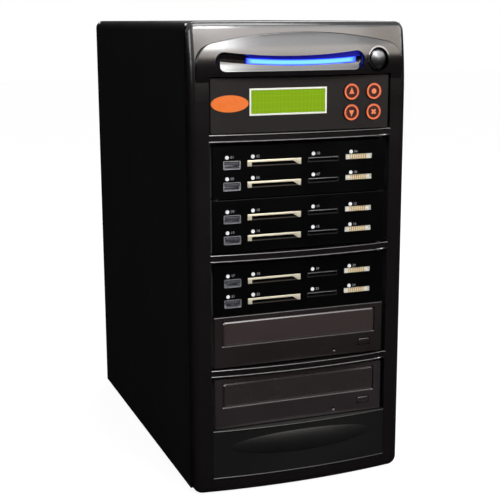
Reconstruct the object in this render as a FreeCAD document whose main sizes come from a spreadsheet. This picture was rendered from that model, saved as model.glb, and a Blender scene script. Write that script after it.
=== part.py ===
import FreeCAD, Part
import math
import os
import re
import Sketcher

# Tower duplicator: card readers and two optical drives behind a bowed front bezel
# Frame: +X right, +Y to the back, +Z up, origin under the middle of the tower

doc = FreeCAD.newDocument("duplicator")
sizes = doc.addObject("Spreadsheet::Sheet", "sizes")
places = doc.addObject("App::VarSet", "places")

# Driving sizes in millimetres and degrees
SIZES = {
    # sheet steel chassis
    "sheet_t": 1.0,
    "cover_bend": 7.0,
    "chassis_fit": 0.2,
    "side_channel": 16.5,
    "cover_setback": 11.0,
    "flange_depth": 10.0,
    "wiring_gap": 14.0,
    "rear_recess": 6.0,
    "foot_height": 4.0,
    "foot_radius": 7.5,
    "foot_flare": 1.0,
    "foot_inset_x": 22.0,
    "foot_inset_y": 28.0,
    "foot_dimple": 3.0,
    "foot_dimple_depth": 1.8,
    # bays of the 5.25 inch standard
    "face_width": 148.0,
    "face_height": 42.0,
    "face_seam": 0.5,
    "face_edge": 0.5,
    "unit_fit": 0.3,
    "unit_rise": 0.5,
    "face_lap": 1.0,
    "cage_run": 140.0,
    "cage_flange": 13.0,
    "cage_over": 6.0,
    "screw_hole": 1.8,
    "tray_length": 140.0,
    "screw_front": 52.3,
    "screw_pitch": 79.5,
    "screw_rise": 10.0,
    "screw_radius": 1.45,
    "screw_play": 0.05,
    "screw_head": 2.8,
    "screw_head_t": 1.8,
    # front bezel
    "bezel_wall": 2.6,
    "flange_wall": 1.8,
    "bezel_gap": 0.3,
    "bezel_round": 6.0,
    "bezel_drop": 2.5,
    "bezel_corner": 8.0,
    "bow_radius": 585.0,
    "bow_reach": 7.0,
    "bottom_rail": 12.0,
    "window_side_gap": 2.5,
    "bar_height": 4.9,
    "bar_gap_over": 1.2,
    "bar_gap_under": 3.2,
    "bead_radius": 0.75,
    "bead_sink": 0.25,
    "cap_height": 40.8,
    "cap_curve": 285.0,
    "cap_curve_drop": 17.8,
    "post_radius": 3.0,
    # crest
    "crest_reach": 9.0,
    "crest_margin": 5.0,
    "crest_rise": 33.1,
    "crest_arch": 355.0,
    "crest_corner": 17.0,
    "crest_roll": 46.0,
    "crest_roll_rise": 10.2,
    "crest_edge": 1.2,
    "crest_skirt": 16.0,
    # curved slot and its light
    "slot_rise": 3.6,
    "slot_height": 15.8,
    "slot_sag": 4.4,
    "slot_end": 7.0,
    "slot_wall": 2.0,
    "slot_scoop": 5.0,
    "slot_inset": 14.7,
    "slot_power_gap": 12.8,
    "light_gap": 4.8,
    "light_length": 92.0,
    "light_height": 4.2,
    "light_rise": 7.6,
    "light_curve": 588.0,
    "light_depth": 5.0,
    "light_proud": 0.5,
    "light_fit": 0.1,
    "board_t": 1.6,
    # power button
    "power_rise": 11.8,
    "power_inset": 23.2,
    "ring_radius": 10.0,
    "ring_wall": 1.2,
    "ring_fit": 0.1,
    "ring_proud": 0.5,
    "button_curve": 13.0,
    "button_gap": 0.9,
    "button_travel": 2.5,
    "button_clear": 0.4,
    "switch_side": 12.0,
    # lower cover
    "lower_height": 42.2,
    "lower_fit": 0.25,
    "lens_margin": 14.5,
    "lens_half_height": 9.5,
    "lens_reach": 1.6,
    "lens_rise": 26.5,
    # controller unit
    "control_over": 0.5,
    "control_proud": 0.5,
    "face_t": 3.0,
    "control_lap": 1.5,
    "lcd_gap": 1.0,
    "lcd_key_gap": 14.4,
    "lcd_drop": 18.7,
    "lcd_height": 21.0,
    "lcd_sink": 0.3,
    "lcd_fit": 0.1,
    "module_depth": 8.0,
    "module_over": 7.5,
    "module_clear": 3.0,
    "key_radius": 6.5,
    "key_gap": 0.3,
    "key_flange": 0.8,
    "key_flange_t": 1.2,
    "key_proud": 1.2,
    "key_edge": 7.1,
    "key_pitch_x": 19.5,
    "key_low_rise": 12.9,
    "key_pitch_z": 16.3,
    "key_travel": 0.8,
    "key_depth": 6.0,
    "key_clear": 0.3,
    "badge_half": 15.2,
    "badge_half_height": 6.5,
    "badge_edge": 0.6,
    "badge_rise": 22.6,
    "badge_t": 0.6,
    # card readers
    "row_low": 16.0,
    "row_pitch": 16.7,
    "lamp_radius": 1.5,
    "lamp_fit": 0.1,
    "lamp_depth": 5.0,
    "lamp_proud": 0.3,
    "port_edge_left": 9.0,
    "port_edge_right": 11.8,
    "usb_drop": 6.05,
    "usb_width": 14.0,
    "usb_height": 6.6,
    "usb_depth": 15.0,
    "usb_proud": 0.4,
    "shell_t": 0.5,
    "usb_corner": 0.9,
    "tongue_width": 11.0,
    "tongue_t": 1.8,
    "cf_drop": 5.3,
    "cf_width": 45.6,
    "cf_height": 5.2,
    "cf_lip": 1.4,
    "cf_depth": 34.0,
    "sd_drop": 4.7,
    "sd_width": 27.0,
    "sd_height": 4.4,
    "sd_depth": 28.0,
    "ms_drop": 4.0,
    "ms_width": 23.4,
    "ms_height": 4.2,
    "ms_depth": 30.0,
    "slot_lip": 0.8,
    "socket_sink": 0.6,
    "socket_fit": 0.15,
    "reader_board_depth": 80.0,
    "reader_board_gap": 5.0,
    # optical drives
    "tray_door_low": 18.5,
    "tray_door_margin": 7.3,
    "tray_door_top": 4.1,
    "tray_door_gap": 0.5,
    "tray_door_proud": 0.6,
    "tray_door_t": 5.8,
    "tray_door_bevel": 1.2,
    "tray_door_round": 2.5,
    "drive_face_t": 8.0,
    "drive_face_wall": 2.2,
    "drive_tail": 14.8,
    "door_lip": 0.8,
    "eject_width": 10.4,
    "eject_inset": 16.4,
    "eject_low": 6.7,
    "eject_height": 5.3,
    "eject_gap": 0.3,
    "eject_proud": 0.5,
    "eject_depth": 7.5,
    "eject_round": 1.6,
    "pin_rise": 5.0,
    "pin_gap": 27.2,
    "pin_radius": 0.8,
    "pin_sink": 0.7,
    "tray_low": 19.5,
    "tray_inset": 2.2,
    "tray_t": 7.0,
    "tray_gap": 0.3,
    "tray_rim": 3.7,
    "tray_tail": 17.4,
    "disc_front_gap": 6.0,
    "disc_well": 2.2,
    "disc_small": 41.0,
    "disc_small_well": 1.4,
    "tray_slot_half": 17.0,
    "tray_slot_front": 20.0,
    "tray_slot_back": 62.0,
    "tray_travel": 140.0,
    "deck_low": 4.5,
    "deck_floor": 2.0,
    "deck_rail": 6.5,
    "deck_front": 11.0,
    "deck_tail": 2.0,
    "rotor_low": 9.5,
    "rotor_radius": 15.0,
    "rotor_t": 3.5,
    "platter_radius": 11.0,
    "platter_t": 2.0,
    "cone_radius": 7.2,
    "cone_t": 3.0,
    "spindle_pin": 1.5,
    "spindle_boss": 12.0,
    "run_play": 0.05,
    "pickup_half": 24.0,
    "pickup_run": 26.0,
    "pickup_back": 19.0,
    "pickup_low": 8.0,
    "pickup_t": 8.0,
    "pickup_travel": 26.0,
    "lens_radius": 3.5,
    "lens_t": 1.0,
    "rod_radius": 1.5,
    "rod_x": 20.0,
    "rod_rise": 12.0,
    "lug_t": 4.0,
    # power supply
    "psu_width": 150.0,
    "psu_height": 86.0,
    "psu_depth": 125.0,
    "psu_window_rim": 3.0,
    "psu_fan_edge": 5.0,
    "psu_inlet_edge": 29.0,
    "inlet_rise": 60.0,
    "inlet_width": 27.0,
    "inlet_height": 20.0,
    "inlet_depth": 18.0,
    "inlet_rim": 2.0,
    "inlet_rim_t": 2.5,
    "inlet_wall": 1.4,
    "inlet_floor": 2.0,
    "inlet_blade": 12.0,
    "rocker_rise": 24.0,
    "rocker_half": 5.4,
    "rocker_arm": 8.2,
    "rocker_gap": 0.3,
    "rocker_end_gap": 1.0,
    "rocker_wall": 1.0,
    "rocker_rim": 1.2,
    "rocker_tilt": 8.0,
    # fans, 80 mm
    "fan_side": 80.0,
    "fan_depth": 25.0,
    "fan_bore": 38.0,
    "fan_hole_pitch": 71.5,
    "fan_hole": 2.15,
    "fan_rise": 80.0,
    "fan_hub": 16.0,
    "fan_hub_t": 18.0,
    "fan_mount": 15.0,
    "fan_mount_t": 4.0,
    "fan_gap": 0.5,
    "fan_pin": 1.5,
    "blade_tip": 35.6,
    "blade_root": 14.5,
    "blade_chord": 17.0,
    "blade_half_t": 0.7,
    "blade_pitch": 38.0,
    "wire_radius": 0.8,
    "guard_step": 9.0,
    "fan_screw": 1.9,
    "fan_screw_head": 3.6,
    "fan_screw_head_t": 2.0,
    "fan_screw_run": 8.0,
    # cover screws
    "thumb_radius": 4.0,
    "thumb_t": 3.6,
    "thumb_shank": 1.6,
    "thumb_hole": 1.8,
    "thumb_run": 5.0,
    "thumb_low": 26.0,
    "thumb_high": 26.0,
}

# Places that follow from the sizes
PLACES = {
    "unit_width": "face_width - 2 * face_lap",
    "unit_height": "face_height - 2 * unit_rise",
    "bay_pitch": "face_height + face_seam",
    "tray_door_half": "face_width / 2 - tray_door_margin",
    "tray_door_height": "face_height - tray_door_low - tray_door_top",
    "tray_half": "tray_door_half - tray_inset",
    "disc_radius": "tray_half - tray_rim",
    "disc_back": "disc_radius + disc_front_gap",
    "tray_run": "disc_back + disc_radius + tray_tail",
    "deck_run": "tray_run + deck_tail",
    "drive_length": "tray_door_t - tray_door_proud + tray_run + drive_tail",
    "eject_x": "face_width / 2 - eject_inset",
    "pin_x": "eject_x - pin_gap",
    "port_room": "face_width - port_edge_left - port_edge_right",
    "port_gap": "(port_room - usb_width - cf_width - sd_width - ms_width) / 3",
    "usb_x": "port_edge_left - face_width / 2 + usb_width / 2",
    "cf_x": "usb_x + usb_width / 2 + port_gap + cf_width / 2",
    "sd_x": "cf_x + cf_width / 2 + port_gap + sd_width / 2",
    "ms_x": "sd_x + sd_width / 2 + port_gap + ms_width / 2",
    "reader_board_width": "unit_width - 2 * reader_board_gap",
    "control_width": "face_width + 2 * control_lap",
    "badge_x": "badge_edge + badge_half - control_width / 2",
    "key_left": "control_width / 2 - key_edge - key_radius - key_pitch_x",
    "lcd_left": "badge_x + badge_half + lcd_gap",
    "lcd_width": "key_left - key_radius - lcd_key_gap - lcd_left",
    "lcd_x": "lcd_left + lcd_width / 2",
    "lcd_rise": "face_height - lcd_drop",
    "module_width": "lcd_width + 2 * module_over",
    "module_height": "face_height - 2 * module_clear",
    "half_width": "unit_width / 2 + unit_fit + sheet_t + side_channel + sheet_t",
    "depth": "crest_reach + drive_length + wiring_gap + psu_depth + sheet_t + rear_recess",
    "face_y": "crest_reach - depth / 2",
    "rear_y": "depth / 2",
    "cover_y": "face_y + cover_setback",
    "rim_y": "cover_y - bezel_gap",
    "inner_y": "cover_y + sheet_t",
    "panel_y": "rear_y - rear_recess - sheet_t",
    "pan_z": "foot_height + sheet_t",
    "bezel_z": "foot_height - bezel_drop",
    "lower_z": "bezel_z + bottom_rail",
    "drive_2_z": "lower_z + lower_height",
    "bar_step": "face_height + bar_gap_under + bar_height + bar_gap_over",
    "drive_1_z": "drive_2_z + bar_step",
    "reader_3_z": "drive_1_z + bay_pitch",
    "reader_2_z": "reader_3_z + bar_step",
    "reader_1_z": "reader_2_z + bay_pitch",
    "control_z": "reader_1_z + bar_step",
    "cap_z": "control_z + face_height + bar_gap_over",
    "top_z": "cap_z + cap_height",
    "window_half": "face_width / 2 + window_side_gap",
    "lens_half": "window_half - lens_margin",
    "crest_half": "half_width - crest_margin",
    "power_x": "crest_half - power_inset",
    "slot_right": "power_x - slot_power_gap",
    "slot_length": "slot_right + crest_half - slot_inset",
    "slot_middle": "slot_right - slot_length / 2",
    "light_x": "slot_right - light_gap - light_length / 2",
    "crest_radius": "bow_radius - bow_reach + crest_reach",
    "chassis_half": "half_width - sheet_t - chassis_fit",
    "chassis_top": "top_z - sheet_t - chassis_fit",
    "axis_y": "face_y - bow_reach + bow_radius",
    "curve_z": "cap_z - cap_curve_drop",
    "power_z": "cap_z + power_rise",
    "cage_x": "unit_width / 2 + unit_fit",
    "psu_y": "panel_y - psu_depth",
    "psu_fan_x": "psu_fan_edge + fan_side / 2 - psu_width / 2",
    "psu_inlet_x": "psu_width / 2 - psu_inlet_edge",
    "fan_z": "pan_z + psu_height + fan_rise",
    "psu_fan_z": "pan_z + psu_height / 2",
    "inlet_z": "pan_z + inlet_rise",
    "rocker_z": "pan_z + rocker_rise",
    "light_axis_z": "cap_z + light_rise + light_curve + light_height / 2",
    "lens_plan": "lens_half ^ 2 / (2 * (lens_reach + lens_half ^ 2 / (2 * bow_radius)))",
    "lens_roll": "lens_half_height ^ 2 / (2 * lens_reach)",
    "slot_cut": "slot_length ^ 2 / (8 * slot_sag)",
    "rocker_pivot": "rocker_arm / 4",
}

UNIT_PLACES = ["control_z", "reader_1_z", "reader_2_z", "reader_3_z", "drive_1_z", "drive_2_z"]
NAME = re.compile(r"[A-Za-z_][A-Za-z_0-9]*")

PARTS = []
ORIGIN = FreeCAD.Vector(0, 0, 0)
SAME_PLACE = 0.02
SHORT_EDGE = 0.5
SAME_WAY = 0.999
TURNS = {
    "z": FreeCAD.Rotation(),
    "y": FreeCAD.Rotation(FreeCAD.Vector(1, 0, 0), -90),
    "x": FreeCAD.Rotation(FreeCAD.Vector(0, 1, 0), 90),
}


def formula(text):
    """Give every size and place in a formula the name of the object that holds it."""
    def owner(match):
        word = match.group(0)
        if word in SIZES:
            return "sizes." + word
        if word in PLACES:
            return "places." + word
        return word
    return NAME.sub(owner, str(text))


def fill_tables():
    for row, (alias, value) in enumerate(SIZES.items(), 1):
        sizes.set(f"A{row}", alias)
        sizes.set(f"B{row}", str(value))
        sizes.setAlias(f"B{row}", alias)
    doc.recompute()
    for name, text in PLACES.items():
        places.addProperty("App::PropertyFloat", name, "places")
        places.setExpression(name, formula(text))
    doc.recompute()


def size(name):
    return float(sizes.get(name))


def bind(item, **texts):
    for prop, text in texts.items():
        item.setExpression(prop, formula(text))


def seat(item, x, y, z, turn=TURNS["z"]):
    item.Placement = FreeCAD.Placement(ORIGIN, turn)
    for letter, text in zip("xyz", (x, y, z)):
        item.setExpression("Placement.Base." + letter, formula(text))


def slab(name, x, y, z):
    """A box between two formulas on each axis."""
    item = doc.addObject("Part::Box", name)
    bind(item, Length=f"({x[1]}) - ({x[0]})", Width=f"({y[1]}) - ({y[0]})", Height=f"({z[1]}) - ({z[0]})")
    seat(item, x[0], y[0], z[0])
    return item


def rod(name, x, y, z, radius, length, along="z"):
    """A cylinder that starts at a point and runs along one axis."""
    item = doc.addObject("Part::Cylinder", name)
    bind(item, Radius=radius, Height=length)
    seat(item, x, y, z, TURNS[along])
    return item


def cone(name, x, y, z, start, end, length, along="z"):
    item = doc.addObject("Part::Cone", name)
    bind(item, Radius1=start, Radius2=end, Height=length)
    seat(item, x, y, z, TURNS[along])
    return item


def hoop(name, x, y, z, radius, wire, along="z"):
    item = doc.addObject("Part::Torus", name)
    bind(item, Radius1=radius, Radius2=wire)
    seat(item, x, y, z, TURNS[along])
    return item


def fuse(name, *items):
    item = doc.addObject("Part::MultiFuse", name)
    item.Shapes = list(items)
    item.Refine = True
    return item


def cut(name, base, *tools):
    tool = tools[0] if len(tools) == 1 else fuse(name + "_tools", *tools)
    item = doc.addObject("Part::Cut", name)
    item.Base = base
    item.Tool = tool
    item.Refine = True
    return item


def overlap(name, *items):
    item = doc.addObject("Part::MultiCommon", name)
    item.Shapes = list(items)
    item.Refine = True
    return item


def group(name, items):
    item = doc.addObject("Part::Compound", name)
    item.Links = list(items)
    return item


def rounded(name, base, radius, chosen):
    """Round the edges of a solid that the test picks by their place."""
    doc.recompute()
    item = doc.addObject("Part::Fillet", name)
    item.Base = base
    picks = [number for number, edge in enumerate(base.Shape.Edges, 1) if chosen(edge)]
    item.Edges = [(number, radius, radius) for number in picks]
    return item


def bevelled(name, base, radius, chosen):
    doc.recompute()
    item = doc.addObject("Part::Chamfer", name)
    item.Base = base
    picks = [number for number, edge in enumerate(base.Shape.Edges, 1) if chosen(edge)]
    item.Edges = [(number, radius, radius) for number in picks]
    return item


def keep(node, item):
    item.Label = node
    PARTS.append((node, item))
    return item


def ends(edge):
    return edge.valueAt(edge.FirstParameter), edge.valueAt(edge.LastParameter)


def runs_along(edge, letter):
    first, last = ends(edge)
    gap = last - first
    return gap.Length > SHORT_EDGE and abs(getattr(gap, letter)) > SAME_WAY * gap.Length


def near(value, target):
    return abs(value - target) < SAME_PLACE


def outline(body, role, points):
    """A closed sketch of straight lines whose corners are formulas."""
    sketch = body.newObject("Sketcher::SketchObject", body.Name + "_outline")
    plane = [item for item in body.Origin.OriginFeatures if item.Role == role][0]
    sketch.AttachmentSupport = (plane, [""])
    sketch.MapMode = "FlatFace"
    count = len(points)
    turn = 2 * math.pi / count
    start = [FreeCAD.Vector(math.cos(turn * step), math.sin(turn * step), 0) for step in range(count)]
    for step in range(count):
        sketch.addGeometry(Part.LineSegment(start[step], start[(step + 1) % count]), False)
    for step in range(count):
        sketch.addConstraint(Sketcher.Constraint("Coincident", step, 2, (step + 1) % count, 1))
    for step, (across, up) in enumerate(points):
        for kind, value, text in (("DistanceX", start[step].x, across), ("DistanceY", start[step].y, up)):
            number = sketch.addConstraint(Sketcher.Constraint(kind, -1, 1, step, 1, value))
            sketch.setExpression(f"Constraints[{number}]", formula(text))
    return sketch


def soften(body, radius, chosen):
    """Round edges of a body that the test picks by their place in the body."""
    doc.recompute()
    base = body.Tip
    picks = [f"Edge{number}" for number, edge in enumerate(base.Shape.Edges, 1) if chosen(edge)]
    item = body.newObject("PartDesign::Fillet", body.Name + "_round")
    item.Base = (base, picks)
    bind(item, Radius=radius)
    body.Tip = item


def padded(name, role, points, length):
    """A body made by padding one outline."""
    body = doc.addObject("PartDesign::Body", name)
    sketch = outline(body, role, points)
    pad = body.newObject("PartDesign::Pad", name + "_pad")
    pad.Profile = sketch
    bind(pad, Length=length)
    sketch.Visibility = False
    return body


def revolved(name, points):
    """A body turned about its own Z axis from an outline of radius and height."""
    body = doc.addObject("PartDesign::Body", name)
    sketch = outline(body, "XZ_Plane", points)
    turned = body.newObject("PartDesign::Revolution", name + "_turn")
    turned.Profile = sketch
    turned.ReferenceAxis = (sketch, ["V_Axis"])
    turned.Angle = 360
    return body


fill_tables()


# Steel chassis: cover, base pan, rear panel, front frame, cage walls, feet
def channel(half, low, high, wall, upright):
    """A U of sheet seen from the front, open at the bottom or at the top."""
    back, lip = (high, low) if upright else (low, high)
    inner = f"({back}) - ({wall})" if upright else f"({back}) + ({wall})"
    return [
        (f"-({half})", lip),
        (f"-({half})", back),
        (half, back),
        (half, lip),
        (f"({half}) - ({wall})", lip),
        (f"({half}) - ({wall})", inner),
        (f"-(({half}) - ({wall}))", inner),
        (f"-(({half}) - ({wall}))", lip),
    ]


def thumb_spots():
    rows = ("foot_height + thumb_low", "(foot_height + top_z) / 2", "top_z - thumb_high")
    edge = "(half_width - sheet_t - flange_depth / 2)"
    return [(f"{sign} * {edge}", row) for sign in (-1, 1) for row in rows]


def fan_spots(x, z):
    return [
        (f"{x} + {across} * fan_hole_pitch / 2", f"{z} + {up} * fan_hole_pitch / 2")
        for across in (-1, 1)
        for up in (-1, 1)
    ]


def screw_rows():
    return [f"face_y + screw_front + {step} * screw_pitch" for step in (0, 1)]


def make_cover():
    shell = padded(
        "cover_sheet",
        "XZ_Plane",
        channel("half_width", "foot_height", "top_z", "sheet_t", True),
        "rear_y - cover_y",
    )
    seat(shell, "0", "rear_y", "0")
    half = places.half_width
    top = places.top_z
    wall = size("sheet_t")
    soften(shell, "cover_bend", lambda edge: runs_along(edge, "y")
           and near(abs(ends(edge)[0].x), half) and near(ends(edge)[0].z, top))
    soften(shell, "cover_bend - sheet_t", lambda edge: runs_along(edge, "y")
           and near(abs(ends(edge)[0].x), half - wall) and near(ends(edge)[0].z, top - wall))
    lips = []
    for sign in (-1, 1):
        inner = "half_width - sheet_t - flange_depth"
        outer = "half_width - sheet_t / 2"
        span = (inner, outer) if sign > 0 else (f"-({outer})", f"-({inner})")
        lips.append(slab("cover_lip", span, ("panel_y + sheet_t", "panel_y + 2 * sheet_t"),
                         ("foot_height + flange_depth", "top_z - cover_bend - sheet_t")))
    holes = [rod("cover_hole", x, "panel_y", z, "thumb_hole", "rear_recess", "y") for x, z in thumb_spots()]
    keep("wrap_cover", cut("cover_part", fuse("cover_joined", shell, *lips), *holes))


def make_pan():
    pan = padded(
        "pan_sheet",
        "XZ_Plane",
        channel("chassis_half", "foot_height", "foot_height + flange_depth", "sheet_t", False),
        "panel_y - inner_y",
    )
    seat(pan, "0", "panel_y", "0")
    keep("base_pan", pan)


def make_rear_panel():
    plate = slab("rear_plate", ("-chassis_half", "chassis_half"), ("panel_y", "panel_y + sheet_t"),
                 ("foot_height", "chassis_top"))
    flanges = []
    for sign in (-1, 1):
        span = ("chassis_half - sheet_t", "chassis_half")
        if sign < 0:
            span = ("-chassis_half", "sheet_t - chassis_half")
        flanges.append(slab("rear_flange", span, ("panel_y - flange_depth", "panel_y"),
                            ("pan_z + flange_depth", "chassis_top - flange_depth")))
    tools = [
        slab("psu_window", ("psu_window_rim - psu_width / 2", "psu_width / 2 - psu_window_rim"),
             ("panel_y - sheet_t", "panel_y + 2 * sheet_t"),
             ("pan_z + psu_window_rim", "pan_z + psu_height - psu_window_rim")),
        rod("fan_opening", "0", "panel_y - sheet_t", "fan_z", "fan_bore", "3 * sheet_t", "y"),
    ]
    for x, z in fan_spots("0", "fan_z"):
        tools.append(rod("fan_screw_hole", x, "panel_y - sheet_t", z, "fan_hole", "3 * sheet_t", "y"))
    for x, z in thumb_spots():
        tools.append(rod("thumb_hole_rear", x, "panel_y - sheet_t", z, "thumb_hole", "3 * sheet_t", "y"))
    keep("rear_panel", cut("rear_part", fuse("rear_joined", plate, *flanges), *tools))


def make_front_frame():
    plate = slab("frame_plate", ("-chassis_half", "chassis_half"), ("cover_y", "inner_y"),
                 ("foot_height", "chassis_top"))
    flanges = []
    for sign in (-1, 1):
        span = ("chassis_half - sheet_t", "chassis_half")
        if sign < 0:
            span = ("-chassis_half", "sheet_t - chassis_half")
        flanges.append(slab("frame_flange", span, ("inner_y", "inner_y + flange_depth"),
                            ("pan_z + flange_depth", "chassis_top - flange_depth")))
    spans = (
        ("control_z", "control_z"),
        ("reader_2_z", "reader_1_z"),
        ("drive_1_z", "reader_3_z"),
        ("drive_2_z", "drive_2_z"),
    )
    openings = [
        slab("frame_opening", ("-face_width / 2 - unit_rise", "face_width / 2 + unit_rise"),
             ("cover_y - sheet_t", "inner_y + sheet_t"),
             (f"{low} - unit_rise", f"{high} + face_height + unit_rise"))
        for low, high in spans
    ]
    keep("front_frame", cut("frame_part", fuse("frame_joined", plate, *flanges), *openings))


def make_cage(node, sign):
    corners = [
        ("cage_x", "inner_y"),
        ("cage_x + cage_flange", "inner_y"),
        ("cage_x + cage_flange", "inner_y + sheet_t"),
        ("cage_x + sheet_t", "inner_y + sheet_t"),
        ("cage_x + sheet_t", "inner_y + cage_run"),
        ("cage_x", "inner_y + cage_run"),
    ]
    points = [(f"{sign} * ({x})", y) for x, y in corners]
    wall = padded(node + "_sheet", "XY_Plane", points, "control_z + face_height + cage_over - pan_z")
    seat(wall, "0", "0", "pan_z")
    start = "cage_x - sheet_t" if sign > 0 else "-cage_x - 2 * sheet_t"
    holes = [
        rod(node + "_hole", start, y, f"{unit} + unit_rise + screw_rise", "screw_hole", "3 * sheet_t", "x")
        for unit in UNIT_PLACES
        for y in screw_rows()
    ]
    return cut(node + "_part", wall, *holes)


def make_feet():
    feet = []
    for x in ("half_width - foot_inset_x", "foot_inset_x - half_width"):
        for y in ("cover_y + foot_inset_y", "rear_y - foot_inset_y"):
            foot = revolved("foot", [
                ("foot_dimple", "0"),
                ("foot_radius", "0"),
                ("foot_radius + foot_flare", "foot_height"),
                ("0", "foot_height"),
                ("0", "foot_dimple_depth"),
                ("foot_dimple", "foot_dimple_depth"),
            ])
            seat(foot, x, y, "0")
            feet.append(foot)
    keep("rubber_feet", group("feet_group", feet))


def make_chassis_screws():
    thumbs = []
    for x, z in thumb_spots():
        head = rod("thumb_head", x, "panel_y + 2 * sheet_t", z, "thumb_radius", "thumb_t", "y")
        shank = rod("thumb_stem", x, "panel_y - thumb_run", z, "thumb_shank",
                    "thumb_run + 2 * sheet_t", "y")
        thumbs.append(fuse("thumb_screw", head, shank))
    keep("cover_screws", group("thumb_group", thumbs))
    screws = []
    for unit in UNIT_PLACES:
        for y in screw_rows():
            z = f"{unit} + unit_rise + screw_rise"
            run = "cage_x + 2 * sheet_t - unit_width / 2"
            for sign in (-1, 1):
                inner = "unit_width / 2 - sheet_t" if sign > 0 else "-cage_x - sheet_t"
                outer = "cage_x + sheet_t" if sign > 0 else "-cage_x - sheet_t - screw_head_t"
                shank = rod("unit_stem", inner, y, z, "screw_radius", run, "x")
                head = rod("unit_head", outer, y, z, "screw_head", "screw_head_t", "x")
                screws.append(fuse("unit_screw", shank, head))
    keep("unit_screws", group("unit_screw_group", screws))


# Front bezel with its crest, slot, bars and button bore
def inside_block(name, inset):
    """The bowed block of the bezel, smaller all round by the inset."""
    block = slab(
        name + "_block",
        (f"-(half_width - {inset})", f"half_width - {inset}"),
        ("face_y - crest_reach - bezel_wall", "rim_y" if inset == "0" else "rim_y + sheet_t"),
        (f"bezel_z + {inset}", f"top_z - {inset}"),
    )
    if inset == "0":
        block = rounded(name + "_corners", block, size("bezel_corner"), lambda edge: runs_along(edge, "y"))
    bow = rod(name + "_bow", "0", "axis_y", "bezel_z - sheet_t", f"bow_radius - {inset}",
              "curve_z - bezel_z + sheet_t")
    roll = hoop(name + "_roll", "0", "axis_y", "curve_z", "bow_radius - cap_curve", f"cap_curve - {inset}")
    roll.Angle1 = -90
    roll.Angle2 = 0
    return fuse(name, overlap(name + "_low", block, bow), overlap(name + "_high", block, roll))


def front_edge(edge, back, skipped):
    """An edge on the front outline: not along Y, clear of the back, off the skipped height."""
    if runs_along(edge, "y"):
        return False
    first, last = ends(edge)
    middle = edge.valueAt((edge.FirstParameter + edge.LastParameter) / 2)
    spots = (first, middle, last)
    if max(spot.y for spot in spots) > back - SAME_PLACE:
        return False
    return not all(near(spot.z, skipped) for spot in spots)


def dome(name, proud):
    return hoop(name, "0", "axis_y", "cap_z + crest_roll_rise",
                "crest_radius - crest_roll", f"crest_roll + {proud}")


def make_crest():
    block = slab("crest_block", ("-crest_half", "crest_half"),
                 ("face_y - crest_reach - bezel_wall", "face_y + slot_wall"),
                 ("cap_z - crest_skirt", "cap_z + crest_rise + sheet_t"))
    arch = rod("crest_arch_round", "0", "face_y - crest_reach - 2 * bezel_wall",
               "cap_z + crest_rise - crest_arch", "crest_arch", "crest_reach + cover_setback", "y")
    prism = overlap("crest_prism", block, arch)
    half = places.crest_half
    level = places.cap_z
    prism = rounded("crest_corners", prism, size("crest_corner"), lambda edge: runs_along(edge, "y")
                    and near(abs(ends(edge)[0].x), half) and ends(edge)[0].z > level)
    raw = overlap("crest_raw", prism, dome("crest_dome", "0"))
    back = places.face_y + size("slot_wall")
    skirt = places.cap_z - size("crest_skirt")
    return rounded("crest", raw, size("crest_edge"), lambda edge: front_edge(edge, back, skirt))


def slot_tool():
    block = slab("slot_block", ("slot_middle - slot_length / 2", "slot_middle + slot_length / 2"),
                 ("face_y - crest_reach - 2 * bezel_wall", "face_y"),
                 ("cap_z + slot_rise", "cap_z + slot_rise + slot_height + bezel_wall"))
    sag = rod("slot_sag_round", "slot_middle", "face_y - crest_reach - 3 * bezel_wall",
              "cap_z + slot_rise + slot_height - slot_sag + slot_cut", "slot_cut",
              "crest_reach + 5 * bezel_wall", "y")
    smile = cut("slot_smile", block, sag)
    ended = rounded("slot_ends", smile, size("slot_end"), lambda edge: runs_along(edge, "y"))
    back = places.face_y
    return rounded("slot_tool", ended, size("slot_scoop"),
                   lambda edge: all(near(spot.y, back) for spot in ends(edge)))


def light_strip(name, spare, front, back):
    """The curved strip of the light, larger all round by the spare."""
    block = slab(name + "_block", (f"light_x - light_length / 2 - {spare}",
                                    f"light_x + light_length / 2 + {spare}"),
                 (front, back), ("cap_z", "cap_z + slot_rise + slot_height"))
    outer = rod(name + "_outer", "light_x", front, "light_axis_z",
                f"light_curve + light_height / 2 + {spare}", f"({back}) - ({front})", "y")
    inner = rod(name + "_inner", "light_x", f"{front} - sheet_t", "light_axis_z",
                f"light_curve - light_height / 2 - {spare}", f"({back}) - ({front}) + 2 * sheet_t", "y")
    return cut(name, overlap(name + "_band", block, outer), inner)


def bead(name, height, half):
    block = slab(name + "_block", (f"-({half})", half), ("face_y - bow_reach - bezel_wall", "face_y"),
                 (f"{height} - bezel_wall", f"{height} + bezel_wall"))
    ring = hoop(name + "_ring", "0", "axis_y", height, "bow_radius - bead_sink", "bead_radius")
    return overlap(name, block, ring)


def window_spans():
    return [
        ("control_z - bar_gap_over", "cap_z"),
        ("reader_2_z - bar_gap_over", "reader_1_z + face_height + bar_gap_under"),
        ("drive_1_z - bar_gap_over", "reader_3_z + face_height + bar_gap_under"),
        ("lower_z", "drive_2_z + face_height + bar_gap_under"),
    ]


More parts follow.
